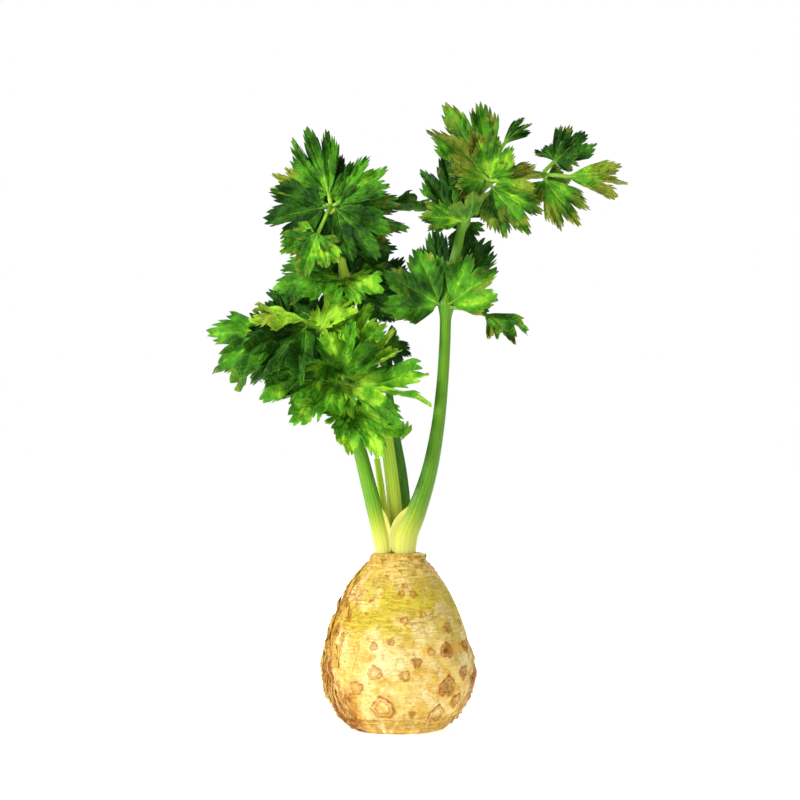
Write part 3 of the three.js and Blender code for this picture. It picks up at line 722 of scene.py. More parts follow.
def blade_part(leaf, rng, look, ring_count, crumple=1.0):
    """One thin closed blade in its own frame: teeth, and veins sunk in its face and raised on its back."""
    length, foot = leaf["length"], foot_length(leaf)
    shares, cuts = toothed_margin(rng)
    smooth = lobed_reach(shares, leaf["cut"])
    jagged = smooth * (BLADE_GROWTH - cuts)
    rings = np.concatenate([[-1.0, -0.5] if foot else [], (np.arange(ring_count + 1) / ring_count) ** 0.9])
    f = np.maximum(rings, 0)[:, None]
    weight = smoothstep(0.45, 1, f)
    reach = f * (length - foot) * (smooth * 0.97 * (1 - weight) + jagged * weight)
    share = np.repeat(shares[None, :], len(rings), 0)
    q = reach / length
    d = vein_distances(share, reach, leaf)
    phases = rng.uniform(0, 2 * math.pi, 6)
    ribs = 0.5 + 0.5 * np.cos(2 * math.pi * SIDE_VEINS * (q - SIDE_VEIN_SLANT * d))
    main = np.exp(-((d * length / 1.1) ** 2))
    swell = length / 50 * smoothstep(0.05, 0.4, q)
    margin = smoothstep(0.4, 1, f)
    curl = np.sin(8 * share + phases[0]) + 0.6 * np.sin(19 * share + phases[1] + 3 * q)
    pucker = np.sin(31 * share + phases[4]) * np.sin(26 * q + phases[5] + 5 * share)
    curl = curl * rng.uniform(*CURLS) * crumple
    lift = swell * (0.6 * (1 - ribs**2) - 0.9 * main + margin * curl + 0.5 * crumple * pucker * f)
    lift += FOLD * d * length * rng.uniform(*FOLDS)
    lift += swell * 1.5 * crumple * np.sin(6 * share + 9 * q + phases[2]) * np.sin(5 * q + phases[3])
    middle = blade_points(leaf, share, reach, lift, NECK_FULLNESS)
    if foot:
        for row, ring in enumerate(rings[:2]):
            along = np.full_like(shares, foot * (1 + ring))
            middle[row] = bend(leaf, shares * NECK_HALF_WIDTH, along, 0 * shares)
    thick = BLADE_THICKNESS + (FOOT_THICKNESS - BLADE_THICKNESS) * np.exp(-((q / 0.07) ** 2))
    thick = thick * (1 - 0.6 * smoothstep(0.9, 1, f) * (rings[:, None] > 0))
    under_rib = 0.55 * np.exp(-((d * length / 0.5) ** 2)) * (1 - smoothstep(0.1, 0.85, q)) * swell
    points, quads = thin_sheet(middle, thick / 2, thick / 2 + under_rib)
    count = share.size
    offset = rng.uniform(-40, 40, 3)
    angle = share * leaf["spread"] * DEGREE
    flat = np.stack([reach * np.sin(angle), reach * np.cos(angle), 0 * q], -1).reshape(-1, 3)
    values = {
        "flat": np.concatenate([flat, flat]) + offset,
        "reach": np.tile(q.ravel(), 2),
        "vein": np.tile(d.ravel(), 2),
        "rim": np.tile(np.repeat(f, share.shape[1], 1).ravel(), 2),
        "under": np.repeat([0.0, 1.0], count),
        "tone_and_light": np.full(2 * count, look[0] + rng.uniform(-0.05, 0.05)),
        "age": np.full(2 * count, look[1] * rng.uniform(0.8, 1.2)),
    }
    return points, quads, values


def ear_part(leaf, rng, look, side):
    """One of the two small side blades that sit at the foot of most leaflets."""
    foot = foot_length(leaf)
    ear = leaf_shape(
        length=(leaf["length"] - foot) * rng.uniform(0.42, 0.58),
        spread=rng.uniform(38, 50),
        droop=rng.uniform(-5, 45),
        cup=rng.uniform(0, 30),
        ruffle=0.05,
    )
    points, quads, values = blade_part(ear, rng, look, EAR_RINGS)
    turn = -side * rng.uniform(52, 88) * DEGREE
    tilt = Matrix.Rotation(rng.uniform(-25, 25) * DEGREE, 3, "Y") @ Matrix.Rotation(turn, 3, "Z")
    start = bend(leaf, 0.0, foot + 0.05 * leaf["length"], 0.0)
    return points @ np.array(tilt).T + start + vec([side * 0.8, 0, -0.4]), quads, values


def leaflet(name, leaf, index):
    """A leaflet: its blade, the neck that joins it to the stalk, and on most a pair of small side blades."""
    rng = np.random.default_rng(RANDOM_SEED + index)
    look = leaf["look"]
    place, joint = leaf_place(leaf)
    parts = [blade_part(leaf, rng, look, BLADE_RINGS, CRUMPLE.get(leaf["line"], 1.0))]
    parts.append(neck_tube(leaf, place, joint, parts[0][2]))
    if leaf["ears"]:
        parts += [ear_part(leaf, rng, look, side) for side in (-1, 1)]
    points, quads, values = join_parts(parts)
    points = points @ place[:3, :3].T + place[:3, 3]
    piece = make_mesh(f"{name}_blade", points, quads, values)
    piece["coarse_centre"] = list(coarse_centre(leaf, place) * MM)
    return piece


def neck_tube(leaf, place, joint, values):
    """The leaflet's neck: a round stem from inside its stalk to the blade, and on behind it as the midrib."""
    length, foot = leaf["length"], foot_length(leaf)
    start = (joint - place[:3, 3]) @ place[:3, :3]
    steps = np.linspace(0, 0.62, 14)
    size = (length / 50) ** 0.5
    radii = 1.25 * size * (1 - steps / 0.66) ** 0.8
    along = steps * length
    path = bend(leaf, 0 * along, along, 0 * along)
    beyond = along > foot
    path[beyond] = blade_points(leaf, np.zeros(beyond.sum()), along[beyond] - foot)
    path[:, 2] -= smoothstep(max(foot, 1), foot + 0.2 * length, along) * radii * 0.75
    path = np.concatenate([[start * 0.75], [start * 0.3 + path[1] * 0.02], path[1:]])
    radii = np.concatenate([[1.7 * size], [1.45 * size], radii[1:]])
    points, quads = tube(path, radii, NECK_SIDES)
    share = np.concatenate([[0, 0, 0], steps[1:], [steps[-1]]])
    none = np.zeros(len(points))
    extra = {
        "flat": points + values["flat"][0],
        "reach": np.repeat(share, NECK_SIDES),
        "vein": none,
        "rim": none,
        "under": none + 0.5,
        "tone_and_light": none + values["tone_and_light"][0],
        "age": none + values["age"][0],
    }
    return points, quads, extra


# ---------------------------------------------------------------- stalks


def stalk_axes(line, control, t, upright=False):
    """The middle of a stalk at t, the way across it, the way its round back faces, and its way along."""
    tangent = vec([0, 0, 1]) if upright else curve_tangent(control, t)
    across = unit(np.cross(unit(line["back"]), tangent))
    return curve_point(control, t), across, unit(np.cross(tangent, across))


def stalk_surface(line, from_crown):
    """Points and values of one ribbed stalk, from its foot to its rounded tip."""
    control = [vec(p) for p in line["points"]]
    rough = sum(np.linalg.norm(b - a) for a, b in zip(control, control[1:]))
    steps = int(rough / STALK_STEP)
    angles = np.arange(STALK_SIDES) * 2 * math.pi / STALK_SIDES
    cos, sin = np.cos(angles), np.sin(angles)
    rib = np.abs(np.cos(STALK_RIBS * angles / 2)) ** 0.7
    ribbed_side = smoothstep(-0.35, 0.25, cos)
    ribs = 0.97 + RIB_HEIGHT * rib * ribbed_side
    # The side that faces the plant's middle is flatter, with a channel along it.
    depth = np.where(cos > 0, cos, cos * (0.8 - 0.35 * cos * cos))
    depth = depth + CHANNEL_DEPTH * np.exp(-((angles - math.pi) ** 2) / 0.28)
    joints = [leaf["joint"] / (len(control) - 1) for leaf in LEAFLETS.values() if LINES[leaf["line"]] is line]
    rows, run, before = [], 0.0, None
    values = {"up": [], "around": [], "groove": [], "inner": []}
    for i in range(steps + 1):
        t = i / steps
        centre, across, outward = stalk_axes(line, control, t, i == 0 and from_crown)
        run += 0 if before is None else float(np.linalg.norm(centre - before))
        before = centre
        knots = sum(math.exp(-(((t - joint) * rough / KNOT_LENGTH) ** 2)) for joint in joints if joint > 0.5)
        width = width_at(line, t) * (1 + KNOT_SWELL * knots)
        if t > 1 - TIP_LENGTH / rough:
            width *= max(0.05, 1 - ((t - 1) * rough / TIP_LENGTH + 1) ** 2) ** 0.5
        section = sin[:, None] * across + STALK_FLATNESS * depth[:, None] * outward
        rows.append(centre + width * ribs[:, None] * section)
        # Painted shade: how much each point faces the plant's middle, kept as 'inner'; the material darkens
        # that side as if it were in shade.
        shaded_side = -np.sign(control[-1][0]) * (sin * across[0] + cos * outward[0])
        values["up"].append(np.full(STALK_SIDES, centre[2] - BASE_Z if from_crown else FAR_UP))
        values["around"].append(np.stack([cos * width, sin * width, np.full(STALK_SIDES, run)], -1))
        values["groove"].append((1 - rib) * ribbed_side)
        values["inner"].append(smoothstep(-0.05, 0.75, shaded_side))
    values = {key: np.concatenate([data[0], *data, data[-1]]) for key, data in values.items()}
    rows = closed_ends(rows)
    return np.concatenate(rows), grid_faces(len(rows), STALK_SIDES, wrap=True), values


def stalk(name):
    """A stalk and its side branches. shade is 1 on a dark stalk and 0 on a young one."""
    line = STALKS[name]
    parts = [stalk_surface(line, True)]
    parts += [stalk_surface(b, False) for b in BRANCHES.values() if b["stalk"] == name]
    points, quads, values = join_parts(parts)
    values["shade"] = np.full(len(points), line["shade"])
    return make_mesh(f"{name}_stalk_skin", points, quads, values)


def sheath(name):
    """The thin pale skin along the inner edge of a stalk's foot, where it wraps round its neighbours."""
    line = STALKS[name]
    height, wide, side = line["sheath"]
    control = [vec(p) for p in line["points"]]
    rows, columns = 30, 9
    points, up = [], []
    for r in range(rows):
        part = r / (rows - 1)
        z = BASE_Z + 0.5 + height * part
        t = float(np.interp(z, [p[2] for p in control[:5]], np.arange(5) / (len(control) - 1)))
        centre, across, outward = stalk_axes(line, control, t)
        width = width_at(line, t)
        flare = wide * smoothstep(-0.3, 0.6, part) * (1 - part**4) + 0.2
        for c in range(columns):
            out = c / (columns - 1)
            edge = centre + across * side * (width * 0.86 + flare * out)
            wave = 0.35 * math.sin(9 * part + 4 * out) * out
            points.append(edge + outward * (0.9 - 0.16 * flare * out * out + wave))
            up.append(0.4 * (z - BASE_Z))
    points, quads = thin_sheet(np.array(points).reshape(rows, columns, 3), 0.25, 0.25)
    none = np.zeros(len(points))
    return points, quads, {"up": np.array(up * 2), "around": points, "groove": none, "shade": none + 0.2}


# ---------------------------------------------------------------- root


def outline_curve(count):
    """The root's outline as a smooth curve: rows of radius and height from the foot to the crown."""
    control = [vec([r, z, 0]) for r, z in ROOT_OUTLINE]
    return np.array([curve_point(control, t) for t in np.linspace(0, 1, count)])


OUTLINE_TABLE = outline_curve(OUTLINE_STEPS)


def root_radius(height):
    return np.interp(height, OUTLINE_TABLE[:, 1], OUTLINE_TABLE[:, 0])


def root_lump(angle, height):
    """The low bumps of the root, as in the CAD model."""
    share = height / ROOT_HEIGHT
    fade = np.maximum(0, np.sin(math.pi * np.clip(share * 1.1, 0, 1))) ** 0.6
    wave = np.sin(3 * angle + 5 * share) + 0.7 * np.sin(5 * angle - 7 * share + 1.3) + 0.5 * np.cos(2 * angle)
    return LUMP * fade * wave


def wavy_noise(rng, count, *places):
    """Smooth seeded noise of about -1 to 1: a sum of sine waves over the given places."""
    total = 0
    for _ in range(count):
        turn = sum(rng.normal() * place for place in places)
        total = total + np.sin(turn + rng.uniform(0, 2 * math.pi))
    return total / math.sqrt(count)


def turn_between(angle, other):
    """The angle from the other angle to this one, the short way round."""
    return (angle - other + math.pi) % (2 * math.pi) - math.pi


def scar_list(rng):
    """Root scars as (angle, height, size, depth, darkness): the chosen ones, then a scatter all round."""
    scars = [(math.radians(a) - math.pi / 2, z, size, deep, dark) for a, z, size, deep, dark in FRONT_SCARS]
    while len(scars) < SCAR_COUNT:
        angle, z = rng.uniform(-math.pi, math.pi), 12 + 98 * rng.uniform() ** 1.15
        size = rng.uniform(1.2, 5.2) * (1 if z < 78 else 0.5)
        front = abs(turn_between(angle, -math.pi / 2)) < 0.85
        gaps = [math.hypot(turn_between(angle, a) * 50, z - h) / (size + s) for a, h, s, _, _ in scars]
        crowded = min(gaps) < 1.1
        if crowded or (front and z < 72):
            continue
        scars.append((angle, z, size, rng.uniform(0.3, 1), rng.uniform(0.1, 0.9)))
    return scars


def root_surface():
    """The root's skin as a grid of points, with the marks on it: ringed scars, folds and worn sides."""
    rng = np.random.default_rng(RANDOM_SEED)
    outline = outline_curve(ROOT_RINGS)
    radius, height = (np.repeat(outline[:, i][:, None], ROOT_SIDES, 1) for i in (0, 1))
    angle = np.repeat(np.linspace(-math.pi, math.pi, ROOT_SIDES, endpoint=False)[None, :], ROOT_RINGS, 0)
    push = root_lump(angle, height)
    cx, sx = np.cos(angle), np.sin(angle)
    soft = wavy_noise(rng, 10, 3.2 * cx, 3.2 * sx, height / 17)
    small = wavy_noise(rng, 14, 8 * cx, 8 * sx, height / 6)
    tiny = wavy_noise(rng, 18, 18 * cx, 18 * sx, height / 2.2)
    upper = smoothstep(*SHOULDER_START, height)
    lower = 1 - smoothstep(*SKIRT_END, height)
    # Fine broken wrinkles round the shoulders, and the worn skin's lapped layers round the foot.
    drift = height + 2.2 * wavy_noise(rng, 6, 2 * cx, 2 * sx) + 1.3 * small + 0.4 * tiny
    wrinkle = np.abs(np.sin(drift * 1.05)) ** 0.5 * 0.6 + np.abs(np.sin(drift * 2.3 + 2 * soft)) ** 0.6 * 0.4
    broken = 0.5 + 0.5 * np.clip(wavy_noise(rng, 12, 6 * cx, 6 * sx, height / 5), -1, 1)
    push = push + upper * 0.8 * (wrinkle - 0.6) * (0.35 + 0.65 * broken)
    layer = (height + 1.3 * wavy_noise(rng, 8, 3 * cx, 3 * sx) + 0.35 * small) / SKIRT_LAYER
    step = layer - np.floor(layer)
    push = push + lower * (2.1 * (1 - step) ** 1.5 - 1.0 + 0.3 * tiny)
    push = push + 0.4 * soft + 0.16 * small + 0.07 * tiny - RELIEF_SINK
    left = smoothstep(0.55, 1.0, -cx + 0.16 * np.sin(height / 15) + 0.1 * soft)
    left = left * (1 - smoothstep(*WORN_END, height))
    right = 0.5 * smoothstep(0.78, 1.0, cx + 0.12 * soft) * (1 - upper)
    worn = np.maximum(left, right)
    knots = wavy_noise(rng, 16, 11 * cx, 11 * sx, height / 5.5)
    ropes = np.abs(wavy_noise(rng, 12, 13 * cx, 13 * sx, height / 24))
    push = push + worn * (1.0 * np.maximum(knots, -0.6) + 0.6 * tiny + 0.9 * (1 - ropes))
    ring, pit, tan = 0 * height, 0 * height, 0 * height
    for a, z, size, deep, dark in scar_list(rng):
        local = np.interp(z, outline[:, 1], outline[:, 0])
        across = turn_between(angle, a) * local
        turn = np.arctan2(height - z, across)
        far = np.hypot(across, (height - z) * 1.12) / size
        uneven = 0.1 * np.sin(3 * turn + a * 7) + 0.06 * np.sin(5 * turn + z)
        far = far * (1 + uneven + 0.05 * np.sin(9 * turn + 3 * a))
        inside = far < 2.2
        swell, second = bell(far, 0.88, 0.17), bell(far, 0.55, 0.1) * (size > 3)
        hollow = bell(far, 0, 0.5)
        bulge = 0.9 * swell + 0.45 * second - 1.1 * deep * hollow + 0.45 * bell(far, 0, 1.2)
        push = push + inside * bulge * min(1, size / 4)
        edge = bell(far, 1.04, 0.15) + 0.8 * bell(far, 0.66, 0.12)
        ring = np.maximum(ring, inside * edge * (0.8 + 0.2 * dark) * (0.8 + 0.2 * np.sin(7 * turn + z)))
        pit = np.maximum(pit, inside * hollow * dark)
        tan = np.maximum(tan, inside * np.exp(-((far / 1.1) ** 4)) * (0.15 + 0.85 * dark))
    fade = smoothstep(0, 2.5, height) * (1 - smoothstep(ROOT_HEIGHT - 2, ROOT_HEIGHT, height))
    out = radius + push * (fade * (radius > CROWN_RADIUS))
    crown = (height > ROOT_HEIGHT - 0.5) & (radius < CROWN_RADIUS - 0.2)
    up = np.maximum(height, 0) + crown * (0.25 * small * (1 - radius / CROWN_RADIUS))
    points = np.stack([out * cx, out * sx, up], -1)
    crease = upper * (1 - wrinkle) * broken + lower * (smoothstep(0.7, 1, step) + smoothstep(0.12, 0, step))
    values = {
        "ring": ring.ravel(),
        "pit": pit.ravel(),
        "tan": tan.ravel(),
        "up": height.ravel(),
        "worn": (worn * (0.75 + 0.25 * np.clip(knots, -1, 1))).ravel(),
        "fold": np.clip(crease, 0, 1).ravel(),
        "skin": np.stack([50 * cx, 50 * sx, height], -1).reshape(-1, 3),
    }
    return points, values


SURFACE, SURFACE_MARKS = root_surface()


def root():
    quads = grid_faces(ROOT_RINGS, ROOT_SIDES, wrap=True)
    return make_mesh("root_skin_piece", SURFACE.reshape(-1, 3), quads, SURFACE_MARKS)


def surface_point(angle, z, out=0.0):
    """A point at the given angle and height, a distance outside the root's skin."""
    row = int(np.searchsorted(SURFACE[1:-2, 0, 2], z)) + 1
    column = int(round((angle + math.pi) / (2 * math.pi) * ROOT_SIDES)) % ROOT_SIDES
    x, y, _ = SURFACE[min(row, ROOT_RINGS - 2), column]
    reach = math.hypot(x, y) + out
    return vec([reach * math.cos(angle), reach * math.sin(angle), z])


def root_hairs():
    """Thin dry rootlets that run down the rough left side, with a few on the right edge and all round."""
    rng = np.random.default_rng(RANDOM_SEED + 1)
    parts = []
    for i in range(HAIR_COUNT):
        kind = i % 6
        if kind == 5:
            angle, z = rng.normal(-0.12, 0.22), rng.uniform(26, 60)
        elif kind == 4:
            angle, z = rng.uniform(-math.pi, math.pi), rng.uniform(14, 40)
        else:
            angle, z = math.pi + rng.normal(0.12, 0.3), rng.uniform(20, 76)
        length = 10 + 28 * rng.uniform() ** 1.7 if kind < 4 else rng.uniform(6, 18)
        heading = rng.normal(0, 0.22)
        sway, pace = rng.uniform(0.01, 0.05), rng.uniform(3, 7)
        hanging = kind == 0
        lift = rng.uniform(1.0, 3.5) if hanging else rng.uniform(0.3, 1.2)
        path, widest = [], 0
        for s in np.linspace(0, 1, HAIR_STEPS):
            a = angle + heading * s * length / 55 + sway * math.sin(pace * s + i)
            zz = max(2.0, z - length * s * math.cos(heading))
            point = surface_point(a, zz, 0.2 + lift * s**1.5 + 0.2 * math.sin(9 * s + i))
            reach = math.hypot(point[0], point[1])
            if hanging and reach < widest:
                point[:2] *= widest / reach
            widest = max(widest, reach) - 0.1
            path.append(point)
        thick = rng.uniform(0.16, 0.42)
        path = np.array(path)
        for _ in range(2):
            path[1:-1] = (path[:-2] + 2 * path[1:-1] + path[2:]) / 4
        points, quads = tube(path, thick * (1 - 0.7 * np.linspace(0, 1, HAIR_STEPS)), 6)
        parts.append((points, quads, {"tint": np.full(len(points), rng.uniform() ** 1.6)}))
    points, quads, values = join_parts(parts)
    return make_mesh("root_hairs", points, quads, values)


def flake(rng, angle, low, half, tall, stand, tint):
    """One ragged thin flake of dry skin that stands off the root. half is half its width, as an angle."""
    rows, columns = 6, 17
    points = []
    a1, a2, a3 = rng.uniform(0, 6, 3)
    for r in range(rows):
        for c in range(columns):
            u = c / (columns - 1) * 2 - 1
            ragged = 1 - 0.75 * abs(u) ** 2.5 + 0.2 * math.sin(9 * u + a1) + 0.12 * math.sin(23 * u + a2)
            share = r / (rows - 1)
            z = low + tall * ragged * share
            over = max(0, z - ROOT_HEIGHT + 0.3)
            out = 0.1 + stand * share**1.3 * (1 + 0.4 * math.sin(4 * u + a3))
            points.append(surface_point(angle + half * u, z - over, out) + vec([0, 0, over]))
    points, quads = thin_sheet(np.array(points).reshape(rows, columns, 3), 0.16, 0.16)
    return points, quads, {"tint": np.full(len(points), tint)}


def crown_scales():
    """Dry skin flakes: a ragged ring round the crown, and browner, larger ones down the worn left side."""
    rng = np.random.default_rng(RANDOM_SEED + 2)
    parts = []
    for i in range(SCALE_COUNT):
        angle = 2 * math.pi * i / SCALE_COUNT * 3 + rng.uniform(-0.2, 0.2)
        low = ROOT_HEIGHT - 2.7 - 13 * rng.uniform() ** 1.6
        tint = 0.45 * max(0, -math.cos(angle)) + rng.uniform(0, 0.4)
        half, tall, stand = (rng.uniform(*span) for span in ((0.1, 0.34), (1.2, 3.4), (0.3, 1.1)))
        parts.append(flake(rng, angle, low, half, tall, stand, tint))
    for i in range(FLAKE_COUNT):
        angle, low = math.pi + rng.normal(0.16, 0.26), rng.uniform(42, 110)
        half = rng.uniform(2, 5.5) / root_radius(low)
        tall, stand, tint = (rng.uniform(*span) for span in ((5, 13), (0.4, 1.8), (0.5, 1.0)))
        parts.append(flake(rng, angle, low, half, tall, stand, tint))
    points, quads, values = join_parts(parts)
    return make_mesh("crown_scales", points, quads, values)


# ---------------------------------------------------------------- materials


class Nodes:
    """Short calls for building a node tree."""

    def __init__(self, name):
        self.material = bpy.data.materials.new(name)
        self.material.use_nodes = True
        self.tree = self.material.node_tree
        self.tree.nodes.clear()
        self.output = self.tree.nodes.new("ShaderNodeOutputMaterial")

    def add(self, kind, sockets=None, **settings):
        """A new node. sockets holds a value or a link for each named or numbered input."""
        node = self.tree.nodes.new("ShaderNode" + kind)
        for key, value in settings.items():
            setattr(node, key, value)
        for key, value in (sockets or {}).items():
            self.put(node.inputs[key], value)
        return node

    def put(self, socket, value):
        if isinstance(value, bpy.types.NodeSocket):
            self.tree.links.new(value, socket)
        elif isinstance(value, (tuple, list)) and len(value) == 3 and socket.type == "RGBA":
            socket.default_value = (*value, 1)
        else:
            socket.default_value = value

    def attribute(self, name, field="Fac"):
        return self.add("Attribute", attribute_name=name).outputs[field]

    def math(self, operation, a, b=0.0, c=0.0, clamp=False):
        return self.add("Math", {0: a, 1: b, 2: c}, operation=operation, use_clamp=clamp).outputs[0]

    def times(self, a, b, clamp=False):
        return self.math("MULTIPLY", a, b, clamp=clamp)

    def plus(self, a, b, clamp=False):
        return self.math("ADD", a, b, clamp=clamp)

    def scaled(self, a, b, c, clamp=False):
        """a times b, plus c."""
        return self.math("MULTIPLY_ADD", a, b, c, clamp)

    def apart(self, a, b):
        """How far a is from b."""
        return self.math("ABSOLUTE", self.math("SUBTRACT", a, b))

    def remap(self, value, low, high, to_low=0.0, to_high=1.0):
        sockets = dict(enumerate((value, low, high, to_low, to_high)))
        return self.add("MapRange", sockets, interpolation_type="SMOOTHSTEP").outputs[0]

    def noise(self, place, scale, detail=4.0, rough=0.55, stretch=None, distortion=0.0):
        if stretch:
            place = self.add("Mapping", {"Vector": place, "Scale": stretch}).outputs[0]
        sockets = {"Vector": place, "Scale": scale, "Detail": detail, "Roughness": rough}
        return self.add("TexNoise", {**sockets, "Distortion": distortion}).outputs["Fac"]

    def cells(self, place, scale, feature="DISTANCE_TO_EDGE"):
        return self.add("TexVoronoi", {"Vector": place, "Scale": scale}, feature=feature).outputs["Distance"]

    def mix(self, amount, first, second):
        return self.add("Mix", {0: amount, 6: first, 7: second}, data_type="RGBA").outputs[2]

    def ramp(self, value, *stops):
        node = self.add("ValToRGB", {"Fac": value})
        elements = node.color_ramp.elements
        while len(elements) < len(stops):
            elements.new(0.5)
        for element, (place, color) in zip(elements, stops):
            element.position = place
            element.color = (*color, 1)
        return node.outputs["Color"]

    def bump(self, height, strength, distance):
        sockets = {"Height": height, "Strength": strength, "Distance": distance}
        return self.add("Bump", sockets).outputs["Normal"]

    def skin(self, color, roughness, **settings):
        """The main shader. A setting's name is its socket's name with _ for each space."""
        sockets = {key.replace("_", " "): value for key, value in settings.items()}
        sockets.update({"Base Color": color, "Roughness": roughness})
        return self.add("BsdfPrincipled", sockets).outputs[0]

    def finish(self, shader):
        self.put(self.output.inputs["Surface"], shader)
        return self.material


def leaf_material():
    n = Nodes("leaf_blade")
    place = n.attribute("flat", "Vector")
    q, d, rim = n.attribute("reach"), n.attribute("vein"), n.attribute("rim")
    tone_and_light, age, under = n.attribute("tone_and_light"), n.attribute("age"), n.attribute("under")
    wobble = n.noise(place, 0.16, 3.0)
    broad = n.noise(place, 0.05, 3.0, 0.6)
    patch = n.noise(place, 0.07, 5.0, 0.65, distortion=0.6)
    grain = n.noise(place, 1.6, 3.0)
    # Main veins, then side veins that leave them like the barbs of a feather, then the fine net between them.
    main_width = n.scaled(q, -0.011, 0.016)
    main = n.remap(n.math("DIVIDE", d, n.math("MAXIMUM", main_width, 0.004)), 0.35, 1.0, 1.0, 0.0)
    slant = n.scaled(d, -SIDE_VEIN_SLANT, q)
    slant = n.scaled(wobble, 0.035, slant)
    counts = (SIDE_VEINS, SIDE_VEINS * 3)
    side, fine = (n.apart(n.math("FRACT", n.times(slant, count)), 0.5) for count in counts)
    side, fine = n.remap(side, 0.41, 0.49), n.remap(fine, 0.38, 0.5)
    net = n.remap(n.cells(place, 0.75), 0.0, 0.09, 1.0, 0.0)
    vein = n.math("MAXIMUM", main, n.times(side, 0.5))
    vein = n.math("MAXIMUM", vein, n.times(fine, 0.18))
    vein = n.math("MAXIMUM", vein, n.times(net, 0.2))
    # Painted light and shade: the tone plus broad bright and dark patches, partly the blade's own uneven
    # green and partly painted highlights and shadows on the crumpled blade.
    shade = n.plus(tone_and_light, n.scaled(broad, 2.0, -0.96))
    near_vein = n.remap(d, 0.0, 0.1, 0.22, -0.06)
    shade = n.plus(shade, n.times(near_vein, n.remap(rim, 0.35, 1.0, 1.0, 0.15)))
    shade = n.plus(shade, n.scaled(grain, 0.12, -0.06), clamp=True)
    green = n.ramp(shade, (0.0, LEAF_DARK), (0.35, LEAF_GREEN), (0.68, LEAF_BRIGHT), (0.95, LEAF_LIME))
    pale = n.ramp(shade, (0.0, VEIN_DARK), (1.0, VEIN_PALE))
    color = n.mix(n.times(vein, 0.6), green, pale)
    # Age: yellow between the veins and towards the rim, brown at the rim itself.
    old = n.scaled(rim, 0.35, patch)
    old = n.plus(old, n.scaled(age, 0.55, -1.03))
    yellow = n.remap(old, -0.04, 0.2)
    color = n.mix(n.times(yellow, 0.75), color, LEAF_YELLOW)
    brown = n.times(n.remap(old, 0.1, 0.3), n.remap(n.noise(place, 0.25, 5.0, 0.7), 0.42, 0.66))
    color = n.mix(n.times(brown, 0.8), color, LEAF_BROWN)
    back = n.mix(0.3, color, UNDERSIDE)
    color = n.mix(n.remap(under, 0.55, 0.95), color, back)
    height = n.times(vein, n.scaled(under, 1.7, -1.0))
    height = n.plus(height, n.times(n.cells(place, 0.7, "F1"), -0.9))
    height = n.plus(height, n.times(n.cells(place, 1.9, "F1"), -0.35))
    height = n.plus(height, n.times(grain, 0.3))
    normal = n.bump(height, 0.75, 0.0007)
    roughness = n.scaled(under, 0.22, n.scaled(grain, 0.3, 0.28))
    shader = n.skin(color, roughness, Normal=normal, Specular_IOR_Level=0.2)
    # Some of the light goes through the blade.
    glow = n.add("BsdfTranslucent", {"Color": color, "Normal": normal})
    both = n.add("MixShader", {0: LIGHT_THROUGH_LEAF, 1: shader, 2: glow.outputs[0]})
    return n.finish(both.outputs[0])


def stalk_material():
    n = Nodes("stalk_skin")
    around, up, shade = n.attribute("around", "Vector"), n.attribute("up"), n.attribute("shade")
    streak = n.noise(around, 1.0, 4.0, 0.6, stretch=(1.5, 1.5, 0.035))
    fibre = n.noise(around, 1.0, 3.0, 0.6, stretch=(4.5, 4.5, 0.06))
    blotch = n.noise(around, 1.0, 3.0, 0.5, stretch=(0.12, 0.12, 0.03))
    climb = n.times(up, n.remap(shade, 0.1, 0.4, 0.62, 1.0))
    climb = n.plus(climb, n.scaled(streak, 22.0, -11.0))
    green = n.ramp(
        n.scaled(blotch, 0.5, n.math("SUBTRACT", shade, 0.25), clamp=True),
        (0.0, STALK_YOUNG),
        (0.5, STALK_GREEN),
        (1.0, STALK_DARK),
    )
    color = n.mix(n.remap(climb, 8, 40), STALK_YELLOW, green)
    color = n.mix(n.remap(climb, -6, 26), STALK_WHITE, color)
    # Painted shade: the side of the darker stalks that faces the plant's middle is coloured towards
    # STALK_DARK above the pale foot, as if it were in shade.
    dark = n.times(n.attribute("inner"), n.remap(climb, 14, 52))
    dark = n.times(dark, n.remap(shade, 0.1, 0.5))
    color = n.mix(n.times(dark, 0.9), color, STALK_DARK)
    color = n.mix(n.times(n.remap(fibre, 0.45, 0.75), 0.3), color, STALK_STREAK)
    color = n.mix(n.times(n.remap(streak, 0.58, 0.8), 0.4), color, green)
    in_groove = n.mix(n.remap(climb, 5, 40), STALK_YELLOW, STALK_DARK)
    color = n.mix(n.times(n.attribute("groove"), 0.5), color, in_groove)
    height = n.scaled(fibre, 0.7, streak)
    shader = n.skin(
        color,
        n.scaled(fibre, 0.3, 0.2),
        Normal=n.bump(height, 0.4, 0.0004),
        Specular_IOR_Level=0.3,
        Subsurface_Weight=0.1,
        Subsurface_Radius=(0.002, 0.003, 0.001),
        Subsurface_Scale=0.5,
    )
    return n.finish(shader)


